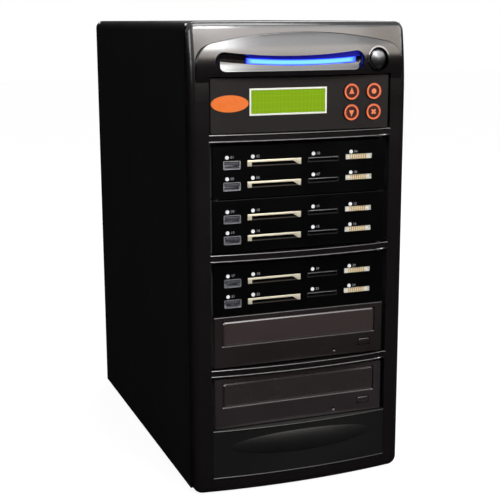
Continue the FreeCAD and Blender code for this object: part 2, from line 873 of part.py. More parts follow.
def make_bezel():
    back = places.rim_y
    seam = places.curve_z
    blank = rounded("bezel_blank", inside_block("bezel_body", "0"), size("bezel_round"),
                    lambda edge: front_edge(edge, back, seam))
    frame = slab("window_frame", ("-window_half - flange_wall", "window_half + flange_wall"),
                 ("face_y - crest_reach - bezel_wall", "rim_y + sheet_t"),
                 ("lower_z - flange_wall", "cap_z + flange_wall"))
    slot_boss = slab("slot_boss", ("slot_middle - slot_length / 2 - slot_wall",
                                   "slot_middle + slot_length / 2 + slot_wall"),
                     ("face_y - crest_reach", "face_y + slot_wall"),
                     ("cap_z", "cap_z + slot_rise + slot_height + slot_wall"))
    button_boss = rod("button_boss", "power_x", "face_y - crest_reach", "power_z",
                      "ring_radius + ring_fit + slot_wall", "crest_reach + light_depth", "y")
    hollow = cut("bezel_hollow", inside_block("bezel_inside", "bezel_wall"), frame, slot_boss, button_boss)
    shell = cut("bezel_shell", fuse("bezel_crested", blank, make_crest()), hollow)
    posts = []
    for sign in (-1, 1):
        for level in ("drive_2_z", "reader_1_z"):
            x = f"{sign} * (window_half + flange_wall + half_width - bezel_wall) / 2"
            posts.append(rod("bezel_post", x, "face_y", level, "post_radius", "cover_setback", "y"))
    tools = [
        slab("bezel_window", ("-window_half", "window_half"),
             ("face_y - crest_reach - 3 * bezel_wall", "cover_y + sheet_t"), span)
        for span in window_spans()
    ]
    tools.append(slot_tool())
    tools.append(light_strip("light_opening", "light_fit", "face_y - slot_wall", "face_y + 2 * slot_wall"))
    tools.append(rod("button_bore", "power_x", "face_y - 2 * crest_reach", "power_z",
                     "ring_radius + ring_fit", "3 * crest_reach", "y"))
    opened = cut("bezel_opened", fuse("bezel_posted", shell, *posts), *tools)
    beads = []
    spans = window_spans()
    for over, under in zip(spans[:-1], spans[1:]):
        beads.append(bead("bar_bead_high", over[0], "window_half + unit_rise"))
        beads.append(bead("bar_bead_low", under[1], "window_half + unit_rise"))
    keep("front_bezel", fuse("bezel_part", opened, *beads))


def make_lower_cover():
    half = "window_half - lower_fit"
    low = "lower_z + lower_fit"
    high = "drive_2_z - lower_fit"
    plate = overlap(
        "lower_plate",
        slab("lower_block", (f"-({half})", half), ("face_y - bow_reach - bezel_wall", "cover_y"), (low, high)),
        rod("lower_bow", "0", "axis_y", "lower_z", "bow_radius", "lower_height"),
    )
    lens = overlap(
        "lower_lens",
        slab("lens_block", (f"-({half}) + bezel_wall", f"{half} - bezel_wall"),
             ("face_y - bow_reach - 2 * bezel_wall", "face_y"),
             (f"{low} + bezel_wall", f"{high} - bezel_wall")),
        hoop("lens_roll_round", "0", "face_y - bow_reach - lens_reach + lens_plan", "lower_z + lens_rise",
             "lens_plan - lens_roll", "lens_roll"),
    )
    hollow = overlap(
        "lower_hollow",
        slab("lower_inside", (f"bezel_wall - ({half})", f"{half} - bezel_wall"),
             ("face_y - bow_reach", "cover_y + sheet_t"), (f"{low} + bezel_wall", f"{high} - bezel_wall")),
        rod("lower_inner_bow", "0", "axis_y", "lower_z", "bow_radius - bezel_wall", "lower_height"),
    )
    beads = [
        bead("lower_bead_low", f"{low} + bead_radius + lamp_fit", half),
        bead("lower_bead_high", f"{high} - bead_radius - lamp_fit", half),
    ]
    keep("lower_cover", cut("lower_part", fuse("lower_joined", plate, lens, *beads), hollow))


def make_light():
    keep("light_bar", light_strip("light_strip", "0", "face_y - light_proud", "face_y + light_depth"))
    return slab(
        "light_plate",
        ("light_x - light_length / 2 - slot_wall", "light_x + light_length / 2 + slot_wall"),
        ("face_y + light_depth", "face_y + light_depth + board_t"),
        ("cap_z + slot_rise", "cap_z + slot_rise + slot_height"),
    )


def make_power():
    front = "face_y - crest_reach - 2 * bezel_wall"
    tube = cut(
        "ring_tube",
        rod("ring_outer", "power_x", front, "power_z", "ring_radius", "face_y + light_depth - (" + front + ")",
            "y"),
        rod("ring_inner", "power_x", f"{front} - sheet_t", "power_z", "ring_radius - ring_wall",
            "4 * crest_reach", "y"),
    )
    keep("power_ring", overlap("ring_part", tube, dome("ring_dome", "ring_proud")))
    stem = rod("button_stem", "power_x", front, "power_z", "ring_radius - ring_wall - button_gap",
               f"face_y + slot_wall - ({front})", "y")
    ball = doc.addObject("Part::Sphere", "button_ball")
    bind(ball, Radius="button_curve")
    seat(ball, "power_x", "axis_y - sqrt(crest_radius ^ 2 - power_x ^ 2) - ring_proud + button_curve", "power_z")
    nose = "axis_y - sqrt(crest_radius ^ 2 - power_x ^ 2) + button_curve / 2"
    core = slab("button_core", ("power_x - ring_radius", "power_x + ring_radius"), (nose, "face_y + slot_wall"),
                ("power_z - ring_radius", "power_z + ring_radius"))
    keep("power_button", overlap("button_part", stem, fuse("button_round", ball, core)))
    return slab(
        "switch_block",
        ("power_x - switch_side / 2", "power_x + switch_side / 2"),
        ("face_y + slot_wall + button_travel + button_clear", "cover_y"),
        ("power_z - switch_side / 2", "power_z + switch_side / 2"),
    )


# Controller unit: face, display, keys, board
def eased(name, plate, front):
    """A face plate with its front edges broken."""
    return bevelled(name, plate, size("face_edge"), lambda edge: all(near(spot.y, front) for spot in ends(edge)))


def key_spots():
    return [
        ("key_up", "key_left", "control_z + key_low_rise + key_pitch_z"),
        ("key_enter", "key_left + key_pitch_x", "control_z + key_low_rise + key_pitch_z"),
        ("key_down", "key_left", "control_z + key_low_rise"),
        ("key_cancel", "key_left + key_pitch_x", "control_z + key_low_rise"),
    ]


def make_controller():
    plate = slab("control_plate", ("-control_width / 2", "control_width / 2"),
                 ("face_y - control_proud", "face_y + face_t"),
                 ("control_z - control_over", "control_z + face_height + control_over"))
    plate = eased("control_eased", plate, places.face_y - size("control_proud"))
    lcd_z = "control_z + lcd_rise"
    tools = [slab("lcd_opening", ("lcd_x - lcd_width / 2", "lcd_x + lcd_width / 2"),
                  ("face_y - face_t", "face_y + 2 * face_t"),
                  (f"{lcd_z} - lcd_height / 2", f"{lcd_z} + lcd_height / 2"))]
    for node, x, z in key_spots():
        tools.append(rod(node + "_hole", x, "face_y - face_t", z, "key_radius + key_gap", "3 * face_t", "y"))
    keep("controller_panel", cut("control_part", plate, *tools))
    keep("lcd_window", slab(
        "lcd_glass",
        ("lcd_x - lcd_width / 2 + lcd_fit", "lcd_x + lcd_width / 2 - lcd_fit"),
        ("face_y - control_proud + lcd_sink", "face_y + face_t"),
        (f"{lcd_z} - lcd_height / 2 + lcd_fit", f"{lcd_z} + lcd_height / 2 - lcd_fit"),
    ))
    keep("lcd_module", slab(
        "lcd_block",
        ("lcd_x - module_width / 2", "lcd_x + module_width / 2"),
        ("face_y + face_t", "face_y + face_t + module_depth"),
        (f"{lcd_z} - module_height / 2", f"{lcd_z} + module_height / 2"),
    ))
    for node, x, z in key_spots():
        start = "control_proud + key_proud"
        lip = f"{start} + face_t + key_gap"
        wide = "key_radius + key_gap + key_flange"
        key = revolved(node + "_cap", [
            ("0", "0"),
            ("key_radius", "0"),
            ("key_radius", lip),
            (wide, lip),
            (wide, f"{lip} + key_flange_t"),
            ("key_radius", f"{lip} + key_flange_t"),
            ("key_radius", f"{start} + key_depth"),
            ("0", f"{start} + key_depth"),
        ])
        soften(key, "key_gap", lambda edge: near(edge.valueAt(edge.FirstParameter).z, 0)
               and near(edge.valueAt(edge.FirstParameter).Length, size("key_radius")))
        seat(key, x, f"face_y - ({start})", z, TURNS["y"])
        keep(node, key)
    board_y = "face_y + face_t + module_depth + board_t"
    tip = "face_y + key_depth + key_travel + key_clear"
    plate = slab("control_board_plate", ("-control_width / 2 + 2 * face_t", "control_width / 2 - 2 * face_t"),
                 (board_y, f"{board_y} + board_t"),
                 ("control_z + unit_rise + sheet_t", "control_z + unit_height - face_t"))
    taps = [
        rod(node + "_tap", x, tip, z, "key_radius / 2", f"{board_y} - ({tip}) + board_t / 2", "y")
        for node, x, z in key_spots()
    ]
    keep("controller_board", fuse("control_board_part", plate, *taps))
    ring = doc.addObject("Part::Ellipse", "badge_outline")
    bind(ring, MajorRadius="badge_half", MinorRadius="badge_half_height")
    seat(ring, "badge_x", "face_y - control_proud", "control_z + badge_rise",
         FreeCAD.Rotation(FreeCAD.Vector(1, 0, 0), 90))
    badge = doc.addObject("Part::Extrusion", "badge_plate")
    badge.Base = ring
    badge.DirMode = "Custom"
    badge.Dir = FreeCAD.Vector(0, -1, 0)
    badge.Solid = True
    bind(badge, LengthFwd="badge_t")
    keep("badge_oval", badge)


def make_unit_trays():
    trays = []
    for unit in UNIT_PLACES[:4]:
        tray = padded("unit_tray_sheet", "XZ_Plane",
                      channel("unit_width / 2", "0", "unit_height", "sheet_t", False),
                      "tray_length")
        seat(tray, "0", "face_y + face_t + tray_length", f"{unit} + unit_rise")
        holes = [
            rod("unit_tray_hole", "-unit_width / 2 - sheet_t", y, f"{unit} + unit_rise + screw_rise",
                "screw_radius + screw_play", "unit_width + 2 * sheet_t", "x")
            for y in screw_rows()
        ]
        trays.append(cut("unit_tray", tray, *holes))
    keep("unit_trays", group("unit_tray_group", trays))


# Card readers: faces, boards, port shells, sockets and lamps
SOCKETS = {
    "cf": ("cf_lip", "cf_lip"),
    "sd": ("slot_lip", "slot_lip"),
    "ms": ("slot_lip", "slot_lip"),
}
LAMPS = (
    "usb_x - usb_width / 2 + 2 * lamp_radius",
    "cf_x - cf_width / 2 + 3 * lamp_radius",
    "sd_x - sd_width / 2 + 3 * lamp_radius",
    "ms_x - ms_width / 2 + 3 * lamp_radius",
)


def reader_rows():
    return [
        (unit, f"{unit} + row_low + {step} * row_pitch")
        for unit in UNIT_PLACES[1:4]
        for step in (0, 1)
    ]


def socket(kind, row):
    top_lip, side_lip = SOCKETS[kind]
    centre = f"{row} - {kind}_drop"
    width = f"{kind}_width / 2 - socket_fit"
    height = f"{kind}_height / 2 - socket_fit"
    board_top = f"{row} - usb_drop - usb_height / 2"
    nose = slab(kind + "_nose", (f"{kind}_x - ({width})", f"{kind}_x + ({width})"),
                ("face_y + socket_sink", "face_y + face_t + lamp_fit"),
                (f"{centre} - ({height})", f"{centre} + {height}"))
    body = slab(kind + "_body", (f"{kind}_x - ({width})", f"{kind}_x + ({width})"),
                ("face_y + face_t + lamp_fit", f"face_y + {kind}_depth"),
                (board_top, f"{centre} + {height}"))
    slot = slab(kind + "_slot",
                (f"{kind}_x - {kind}_width / 2 + {side_lip}", f"{kind}_x + {kind}_width / 2 - {side_lip}"),
                ("face_y", f"face_y + {kind}_depth - bezel_wall"),
                (f"{centre} - {kind}_height / 2 + slot_lip", f"{centre} + {kind}_height / 2 - {top_lip}"))
    return cut(kind + "_socket", fuse(kind + "_solid", nose, body), slot)


def port_opening(kind, row):
    centre = f"{row} - {kind}_drop"
    spare = "socket_fit" if kind == "usb" else "0"
    return slab(kind + "_opening",
                (f"{kind}_x - {kind}_width / 2 - {spare}", f"{kind}_x + {kind}_width / 2 + {spare}"),
                ("face_y - face_t", "face_y + 2 * face_t"),
                (f"{centre} - {kind}_height / 2 - {spare}", f"{centre} + {kind}_height / 2 + {spare}"))


def usb_port(row):
    centre = f"{row} - usb_drop"
    back = "face_y - usb_proud + usb_depth"
    shell = slab("usb_shell", ("usb_x - usb_width / 2", "usb_x + usb_width / 2"),
                 ("face_y - usb_proud", back),
                 (f"{centre} - usb_height / 2", f"{centre} + usb_height / 2"))
    room = slab("usb_room", ("usb_x - usb_width / 2 + shell_t", "usb_x + usb_width / 2 - shell_t"),
                ("face_y - 2 * usb_proud", f"{back} - 2 * shell_t"),
                (f"{centre} - usb_height / 2 + shell_t", f"{centre} + usb_height / 2 - shell_t"))
    shell = rounded("usb_shell_round", shell, size("usb_corner"), lambda edge: runs_along(edge, "y"))
    room = rounded("usb_room_round", room, size("usb_corner") - size("shell_t"),
                   lambda edge: runs_along(edge, "y"))
    tongue = slab("usb_tongue", ("usb_x - tongue_width / 2", "usb_x + tongue_width / 2"),
                  ("face_y + 2 * usb_proud", f"{back} - 2 * shell_t"),
                  (centre, f"{centre} + tongue_t"))
    return cut("usb_port", shell, room), tongue


def make_readers():
    panels = []
    for unit in UNIT_PLACES[1:4]:
        plate = slab("reader_plate", ("-face_width / 2", "face_width / 2"), ("face_y", "face_y + face_t"),
                     (unit, f"{unit} + face_height"))
        plate = eased("reader_eased", plate, places.face_y)
        tools = []
        for owner, row in reader_rows():
            if owner != unit:
                continue
            for kind in ("usb", "cf", "sd", "ms"):
                tools.append(port_opening(kind, row))
            for x in LAMPS:
                tools.append(rod("lamp_hole", x, "face_y - face_t", row, "lamp_radius + lamp_fit",
                                 "3 * face_t", "y"))
        panels.append(cut("reader_panel", plate, *tools))
    for number, panel in enumerate(panels, 1):
        keep(f"reader_panel_{number}", panel)
    boards = []
    shells = []
    lamps = []
    cards = {kind: [] for kind in SOCKETS}
    for unit, row in reader_rows():
        board_top = f"{row} - usb_drop - usb_height / 2"
        boards.append(slab("reader_board", ("-reader_board_width / 2", "reader_board_width / 2"),
                           ("face_y + face_t + unit_fit", "face_y + face_t + reader_board_depth"),
                           (f"{board_top} - board_t", board_top)))
        shells.extend(usb_port(row))
        for kind in SOCKETS:
            cards[kind].append(socket(kind, row))
        for x in LAMPS:
            lamps.append(rod("lamp", x, "face_y - lamp_proud", row, "lamp_radius",
                             "lamp_proud + lamp_depth", "y"))
    keep("usb_ports", group("usb_group", shells))
    for kind in SOCKETS:
        keep(kind + "_sockets", group(kind + "_group", cards[kind]))
    keep("status_lamps", group("lamp_group", lamps))
    return boards


# Optical drives
def make_drive(number, unit):
    tag = f"drive_{number}_"
    door_back = "face_y - tray_door_proud + tray_door_t"
    disc_y = f"({door_back} + disc_back)"
    face_back = "face_y + drive_face_t"

    case = slab(tag + "case_block", ("-unit_width / 2", "unit_width / 2"), (face_back, "face_y + drive_length"),
                (f"{unit} + unit_rise", f"{unit} + unit_rise + unit_height"))
    room = slab(tag + "case_room", ("sheet_t - unit_width / 2", "unit_width / 2 - sheet_t"),
                ("face_y", "face_y + drive_length - sheet_t"),
                (f"{unit} + unit_rise + sheet_t", f"{unit} + unit_rise + unit_height - sheet_t"))
    holes = [
        rod(tag + "case_hole", "-unit_width / 2 - sheet_t", y, f"{unit} + unit_rise + screw_rise",
            "screw_radius + screw_play", "unit_width + 2 * sheet_t", "x")
        for y in screw_rows()
    ]
    keep(tag + "case", cut(tag + "case_part", case, room, *holes))

    plate = slab(tag + "face_block", ("-face_width / 2", "face_width / 2"), ("face_y", face_back),
                 (unit, f"{unit} + face_height"))
    plate = eased(tag + "face_eased", plate, places.face_y)
    hollow = slab(tag + "face_room", ("drive_face_wall - face_width / 2", "face_width / 2 - drive_face_wall"),
                  ("face_y + drive_face_wall", f"{face_back} + sheet_t"),
                  (f"{unit} + drive_face_wall", f"{unit} + face_height - drive_face_wall"))
    door_hole = slab(tag + "door_hole", ("-tray_door_half - tray_door_gap", "tray_door_half + tray_door_gap"),
                     ("face_y - face_t", face_back),
                     (f"{unit} + tray_door_low - tray_door_gap",
                      f"{unit} + tray_door_low + tray_door_height + tray_door_gap"))
    eject_hole = slab(tag + "eject_hole",
                      ("eject_x - eject_width / 2 - eject_gap", "eject_x + eject_width / 2 + eject_gap"),
                      ("face_y - face_t", face_back),
                      (f"{unit} + eject_low - eject_gap", f"{unit} + eject_low + eject_height + eject_gap"))
    lip_top = "tray_door_low - tray_door_gap"
    lip = padded(tag + "lip", "YZ_Plane", [
        ("-face_t", f"{lip_top} - door_lip"),
        ("0", f"{lip_top} - door_lip"),
        ("door_lip", lip_top),
        ("door_lip", "tray_door_low"),
        ("-face_t", "tray_door_low"),
    ], "2 * (tray_door_half + tray_door_gap)")
    seat(lip, "-tray_door_half - tray_door_gap", "face_y", unit)
    pin = rod(tag + "pin", "pin_x", "face_y - face_t", f"{unit} + pin_rise", "pin_radius", "3 * face_t", "y")
    sink = cone(tag + "pin_sink", "pin_x", "face_y", f"{unit} + pin_rise", "pin_radius + pin_sink",
                "pin_radius", "pin_sink", "y")
    keep(tag + "face", cut(tag + "face_part", plate, hollow, door_hole, eject_hole, lip, pin, sink))

    door = slab(tag + "door_block", ("-tray_door_half", "tray_door_half"),
                ("face_y - tray_door_proud", door_back),
                (f"{unit} + tray_door_low", f"{unit} + tray_door_low + tray_door_height"))
    door = rounded(tag + "door_round", door, size("tray_door_round"), lambda edge: runs_along(edge, "y"))
    front = places.face_y - size("tray_door_proud")
    keep(tag + "tray_door", bevelled(tag + "door_part", door, size("tray_door_bevel"),
                                     lambda edge: all(near(spot.y, front) for spot in ends(edge))))

    tray = slab(tag + "tray_block", ("-tray_half", "tray_half"), (door_back, f"{door_back} + tray_run"),
                (f"{unit} + tray_low", f"{unit} + tray_low + tray_t"))
    top = f"{unit} + tray_low + tray_t"
    well = rod(tag + "well", "0", disc_y, f"{top} - disc_well", "disc_radius", "2 * disc_well")
    small = rod(tag + "small_well", "0", disc_y, f"{top} - disc_well - disc_small_well", "disc_small",
                "2 * disc_well")
    slot = slab(tag + "tray_slot", ("-tray_slot_half", "tray_slot_half"),
                (f"{disc_y} - tray_slot_front", f"{disc_y} + tray_slot_back"),
                (f"{unit} + tray_low - sheet_t", f"{top} + sheet_t"))
    keep(tag + "tray", cut(tag + "tray_part", tray, well, small, slot))

    button = slab(tag + "eject_block", ("eject_x - eject_width / 2", "eject_x + eject_width / 2"),
                  ("face_y - eject_proud", "face_y - eject_proud + eject_depth"),
                  (f"{unit} + eject_low", f"{unit} + eject_low + eject_height"))
    keep(tag + "eject_button", rounded(tag + "eject_part", button, size("eject_round"),
                                       lambda edge: runs_along(edge, "y")))

    deck_half = "unit_width / 2 - sheet_t - unit_fit"
    floor = f"{unit} + deck_low + deck_floor"
    deck_end = "face_y + deck_front + deck_run"
    block = slab(tag + "deck_block", (f"-({deck_half})", deck_half), ("face_y + deck_front", deck_end),
                 (f"{unit} + deck_low", f"{unit} + tray_low + tray_t"))
    lane = slab(tag + "deck_lane", ("-tray_half - tray_gap", "tray_half + tray_gap"),
                ("face_y", f"{door_back} + tray_run + tray_gap"),
                (f"{unit} + tray_low - tray_gap", f"{unit} + face_height"))
    pit = slab(tag + "deck_pit", ("deck_rail - tray_half", "tray_half - deck_rail"),
               ("face_y + deck_front + lug_t", f"{deck_end} - lug_t"), (floor, f"{unit} + face_height"))
    base = cut(tag + "deck_base", block, lane, pit)
    boss = rod(tag + "deck_boss", "0", disc_y, f"{floor} - sheet_t / 2", "spindle_boss",
               "rotor_low - tray_gap - deck_low - deck_floor + sheet_t / 2")
    bore = rod(tag + "deck_bore", "0", disc_y, f"{unit} + deck_low - sheet_t", "spindle_pin + run_play",
               "rotor_low")
    lugs = []
    bores = [bore]
    rods = []
    rod_start = f"{disc_y} + rod_x / 2"
    rod_run = "pickup_back + pickup_run + pickup_travel + 2 * lug_t - rod_x / 2"
    for sign in (-1, 1):
        x = f"{sign} * rod_x"
        bores.append(rod(tag + "rod_bore", x, rod_start + " - sheet_t", f"{unit} + rod_rise",
                         "rod_radius + run_play", rod_run + " + 2 * sheet_t", "y"))
        rods.append(rod(tag + "guide_rod", x, rod_start, f"{unit} + rod_rise", "rod_radius", rod_run, "y"))
        for offset in ("0", f"{rod_run} - lug_t"):
            lugs.append(slab(tag + "rod_lug", (f"{x} - 2 * rod_radius", f"{x} + 2 * rod_radius"),
                             (f"{rod_start} + {offset}", f"{rod_start} + {offset} + lug_t"),
                             (f"{floor} - sheet_t / 2", f"{unit} + rod_rise + 2 * rod_radius")))
    keep(tag + "deck", cut(tag + "deck_part", fuse(tag + "deck_joined", base, boss, *lugs), *bores))

    spin = revolved(tag + "turntable_turn", [
        ("0", "0"),
        ("spindle_pin", "0"),
        ("spindle_pin", "rotor_low - deck_low"),
        ("rotor_radius", "rotor_low - deck_low"),
        ("rotor_radius", "rotor_low - deck_low + rotor_t"),
        ("platter_radius", "rotor_low - deck_low + rotor_t"),
        ("platter_radius", "rotor_low - deck_low + rotor_t + platter_t"),
        ("cone_radius", "rotor_low - deck_low + rotor_t + platter_t"),
        ("cone_radius - spindle_pin", "rotor_low - deck_low + rotor_t + platter_t + cone_t"),
        ("0", "rotor_low - deck_low + rotor_t + platter_t + cone_t"),
    ])
    seat(spin, "0", disc_y, f"{unit} + deck_low")
    keep(tag + "turntable", spin)

    sled = slab(tag + "sled", ("-pickup_half", "pickup_half"),
                (f"{disc_y} + pickup_back", f"{disc_y} + pickup_back + pickup_run"),
                (f"{unit} + pickup_low", f"{unit} + pickup_low + pickup_t"))
    lens = rod(tag + "lens", "0", f"{disc_y} + pickup_back + pickup_run / 3",
               f"{unit} + pickup_low + pickup_t - sheet_t / 2", "lens_radius", "lens_t + sheet_t / 2")
    sled_bores = [
        rod(tag + "sled_bore", f"{sign} * rod_x", f"{disc_y}", f"{unit} + rod_rise", "rod_radius + run_play",
            "disc_radius + pickup_run", "y")
        for sign in (-1, 1)
    ]
    keep(tag + "pickup", cut(tag + "pickup_part", fuse(tag + "sled_joined", sled, lens), *sled_bores))
    board = slab(tag + "board", ("-disc_radius", "disc_radius"),
                 ("face_y + deck_front", "face_y + deck_front + tray_travel"),
                 (f"{unit} + unit_rise + sheet_t", f"{unit} + unit_rise + sheet_t + board_t"))
    return rods, board


def make_drives():
    first_rods, first_board = make_drive(1, "drive_1_z")
    second_rods, second_board = make_drive(2, "drive_2_z")
    keep("guide_rods", group("rod_group", first_rods + second_rods))
    return [first_board, second_board]


# Power supply with its inlet and rocker
BLADES = ((-1, 0.6), (0, -0.6), (1, 0.6))


def make_psu():
    box = slab("psu_block", ("-psu_width / 2", "psu_width / 2"), ("psu_y", "panel_y"),
               ("pan_z", "pan_z + psu_height"))
    room = slab("psu_room", ("sheet_t - psu_width / 2", "psu_width / 2 - sheet_t"),
                ("psu_y + sheet_t", "panel_y - sheet_t"), ("pan_z + sheet_t", "pan_z + psu_height - sheet_t"))
    tools = [
        room,
        rod("psu_fan_opening", "psu_fan_x", "panel_y - 2 * sheet_t", "psu_fan_z", "fan_bore", "3 * sheet_t", "y"),
        slab("inlet_cutout", ("psu_inlet_x - inlet_width / 2 - socket_fit",
                              "psu_inlet_x + inlet_width / 2 + socket_fit"),
             ("panel_y - 2 * sheet_t", "panel_y + sheet_t"),
             ("inlet_z - inlet_height / 2 - socket_fit", "inlet_z + inlet_height / 2 + socket_fit")),
        slab("rocker_cutout", ("psu_inlet_x - rocker_half - rocker_gap - rocker_wall - socket_fit",
                               "psu_inlet_x + rocker_half + rocker_gap + rocker_wall + socket_fit"),
             ("panel_y - 2 * sheet_t", "panel_y + sheet_t"),
             ("rocker_z - rocker_arm - rocker_end_gap - rocker_wall - socket_fit",
              "rocker_z + rocker_arm + rocker_end_gap + rocker_wall + socket_fit")),
    ]
    for x, z in fan_spots("psu_fan_x", "psu_fan_z"):
        tools.append(rod("psu_fan_hole", x, "panel_y - 2 * sheet_t", z, "fan_hole", "3 * sheet_t", "y"))
    keep("psu_case", cut("psu_part", box, *tools))

    rim = slab("inlet_rim_block", ("psu_inlet_x - inlet_width / 2 - inlet_rim",
                                   "psu_inlet_x + inlet_width / 2 + inlet_rim"),
               ("panel_y", "panel_y + inlet_rim_t"),
               ("inlet_z - inlet_height / 2 - inlet_rim", "inlet_z + inlet_height / 2 + inlet_rim"))
    body = slab("inlet_body", ("psu_inlet_x - inlet_width / 2", "psu_inlet_x + inlet_width / 2"),
                ("panel_y - inlet_depth", "panel_y + sheet_t"),
                ("inlet_z - inlet_height / 2", "inlet_z + inlet_height / 2"))
    cavity = slab("inlet_cavity", ("psu_inlet_x - inlet_width / 2 + inlet_wall",
                                   "psu_inlet_x + inlet_width / 2 - inlet_wall"),
                  ("panel_y - inlet_depth + inlet_floor", "panel_y + 2 * inlet_rim_t"),
                  ("inlet_z - inlet_height / 2 + inlet_wall", "inlet_z + inlet_height / 2 - inlet_wall"))
    cavity = bevelled("inlet_cavity_corners", cavity, 2 * size("inlet_wall"),
                      lambda edge: runs_along(edge, "y") and ends(edge)[0].z > places.inlet_z)
    inlet = cut("inlet_part", fuse("inlet_joined", rim, body), cavity)
    blades = []
    for across, up in BLADES:
        x = f"psu_inlet_x + {across} * inlet_width / 4"
        z = f"inlet_z - {up} * inlet_height / 8"
        blades.append(slab("inlet_blade_pin", (f"{x} - sheet_t", f"{x} + sheet_t"),
                           ("panel_y - inlet_depth + inlet_floor",
                            "panel_y - inlet_depth + inlet_floor + inlet_blade"),
                           (f"{z} - 2 * sheet_t", f"{z} + 2 * sheet_t")))
    keep("inlet_pins", group("blade_group", blades))

    half_x = "rocker_half + rocker_gap"
    half_z = "rocker_arm + rocker_end_gap"
    rim = slab("rocker_rim_block", (f"psu_inlet_x - ({half_x}) - rocker_wall - rocker_rim",
                                    f"psu_inlet_x + {half_x} + rocker_wall + rocker_rim"),
               ("panel_y", "panel_y + rocker_rim"),
               (f"rocker_z - ({half_z}) - rocker_wall - rocker_rim",
                f"rocker_z + {half_z} + rocker_wall + rocker_rim"))
    body = slab("rocker_body", (f"psu_inlet_x - ({half_x}) - rocker_wall", f"psu_inlet_x + {half_x} + rocker_wall"),
                ("panel_y - inlet_depth / 2", "panel_y + rocker_rim / 2"),
                (f"rocker_z - ({half_z}) - rocker_wall", f"rocker_z + {half_z} + rocker_wall"))
    cavity = slab("rocker_cavity", (f"psu_inlet_x - ({half_x})", f"psu_inlet_x + {half_x}"),
                  ("panel_y - inlet_depth / 2 + rocker_wall", "panel_y + 2 * rocker_rim"),
                  (f"rocker_z - ({half_z})", f"rocker_z + {half_z}"))
    frame = cut("rocker_frame_part", fuse("rocker_joined", rim, body), cavity)
    keep("psu_inlet", group("inlet_group", [inlet, frame]))
    rocker = padded("rocker_profile", "YZ_Plane", [
        ("rocker_pivot", "0"),
        ("2 * rocker_pivot", "rocker_arm"),
        ("0", "rocker_arm"),
        ("-2 * rocker_pivot", "rocker_arm / 3"),
        ("-2 * rocker_pivot", "-rocker_arm / 3"),
        ("0", "-rocker_arm"),
        ("2 * rocker_pivot", "-rocker_arm"),
    ], "2 * rocker_half")
    tilt = FreeCAD.Rotation(FreeCAD.Vector(1, 0, 0), -size("rocker_tilt"))
    seat(rocker, "psu_inlet_x - rocker_half", "panel_y", "rocker_z", tilt)
    keep("psu_rocker", rocker)


# Fans, guards and their screws
def fan_rotor(node, x, z, back):
    body = doc.addObject("PartDesign::Body", node + "_body")
    pin = "fan_mount_t - fan_pin"
    sketch = outline(body, "XZ_Plane", [
        ("0", f"-fan_gap - ({pin})"),
        ("fan_pin", f"-fan_gap - ({pin})"),
        ("fan_pin", "0"),
        ("fan_hub", "0"),
        ("fan_hub", "fan_hub_t"),
        ("0", "fan_hub_t"),
    ])
    hub = body.newObject("PartDesign::Revolution", node + "_hub")
    hub.Profile = sketch
    hub.ReferenceAxis = (sketch, ["V_Axis"])
    hub.Angle = 360
    middle = "fan_hub_t / 2"
    lean = "cos(blade_pitch * 1deg)"
    rise = "sin(blade_pitch * 1deg)"
    sections = []
    for reach in ("blade_root", "blade_tip"):
        along = (f"blade_chord / 2 * {lean}", f"blade_chord / 2 * {rise}")
        off = (f"blade_half_t * {rise}", f"blade_half_t * {lean}")
        section = outline(body, "YZ_Plane", [
            (f"{along[0]} - {off[0]}", f"{middle} + {along[1]} + {off[1]}"),
            (f"-{along[0]} - {off[0]}", f"{middle} - {along[1]} + {off[1]}"),
            (f"-{along[0]} + {off[0]}", f"{middle} - {along[1]} - {off[1]}"),
            (f"{along[0]} + {off[0]}", f"{middle} + {along[1]} - {off[1]}"),
        ])
        section.setExpression("AttachmentOffset.Base.z", formula(reach))
        sections.append(section)
    blade = body.newObject("PartDesign::AdditiveLoft", node + "_blade")
    blade.Profile = sections[0]
    blade.Sections = sections[1:]
    blade.Ruled = True
    doc.recompute()
    ring = body.newObject("PartDesign::PolarPattern", node + "_blades")
    ring.Originals = [blade]
    axis = [item for item in body.Origin.OriginFeatures if item.Role == "Z_Axis"][0]
    ring.Axis = (axis, [""])
    ring.Angle = 360
    ring.Occurrences = 7
    body.Tip = ring
    seat(body, x, f"{back} - fan_depth + fan_mount_t + fan_gap", z, TURNS["y"])
    keep(node, body)


def fan_frame(name, x, z, back):
    front = f"{back} - fan_depth"
    block = slab(name + "_block", (f"{x} - fan_side / 2", f"{x} + fan_side / 2"), (front, back),
                 (f"{z} - fan_side / 2", f"{z} + fan_side / 2"))
    duct = rod(name + "_duct", x, f"{front} - sheet_t", z, "fan_bore", "fan_depth + 2 * sheet_t", "y")
    opened = cut(name + "_opened", block, duct)
    mount = rod(name + "_mount", x, front, z, "fan_mount", "fan_mount_t", "y")
    struts = [
        slab(name + "_strut_x", (f"{x} - fan_bore - sheet_t", f"{x} + fan_bore + sheet_t"),
             (front, f"{front} + fan_mount_t / 2"), (f"{z} - 2 * sheet_t", f"{z} + 2 * sheet_t")),
        slab(name + "_strut_z", (f"{x} - 2 * sheet_t", f"{x} + 2 * sheet_t"),
             (front, f"{front} + fan_mount_t / 2"), (f"{z} - fan_bore - sheet_t", f"{z} + fan_bore + sheet_t")),
    ]
    bores = [rod(name + "_bore", x, f"{front} - sheet_t", z, "fan_pin + run_play", "fan_depth", "y")]
    for hole_x, hole_z in fan_spots(x, z):
        bores.append(rod(name + "_hole", hole_x, f"{front} - sheet_t", hole_z, "fan_screw + lamp_fit",
                         "fan_depth + 2 * sheet_t", "y"))
    return cut(name, fuse(name + "_joined", opened, mount, *struts), *bores)


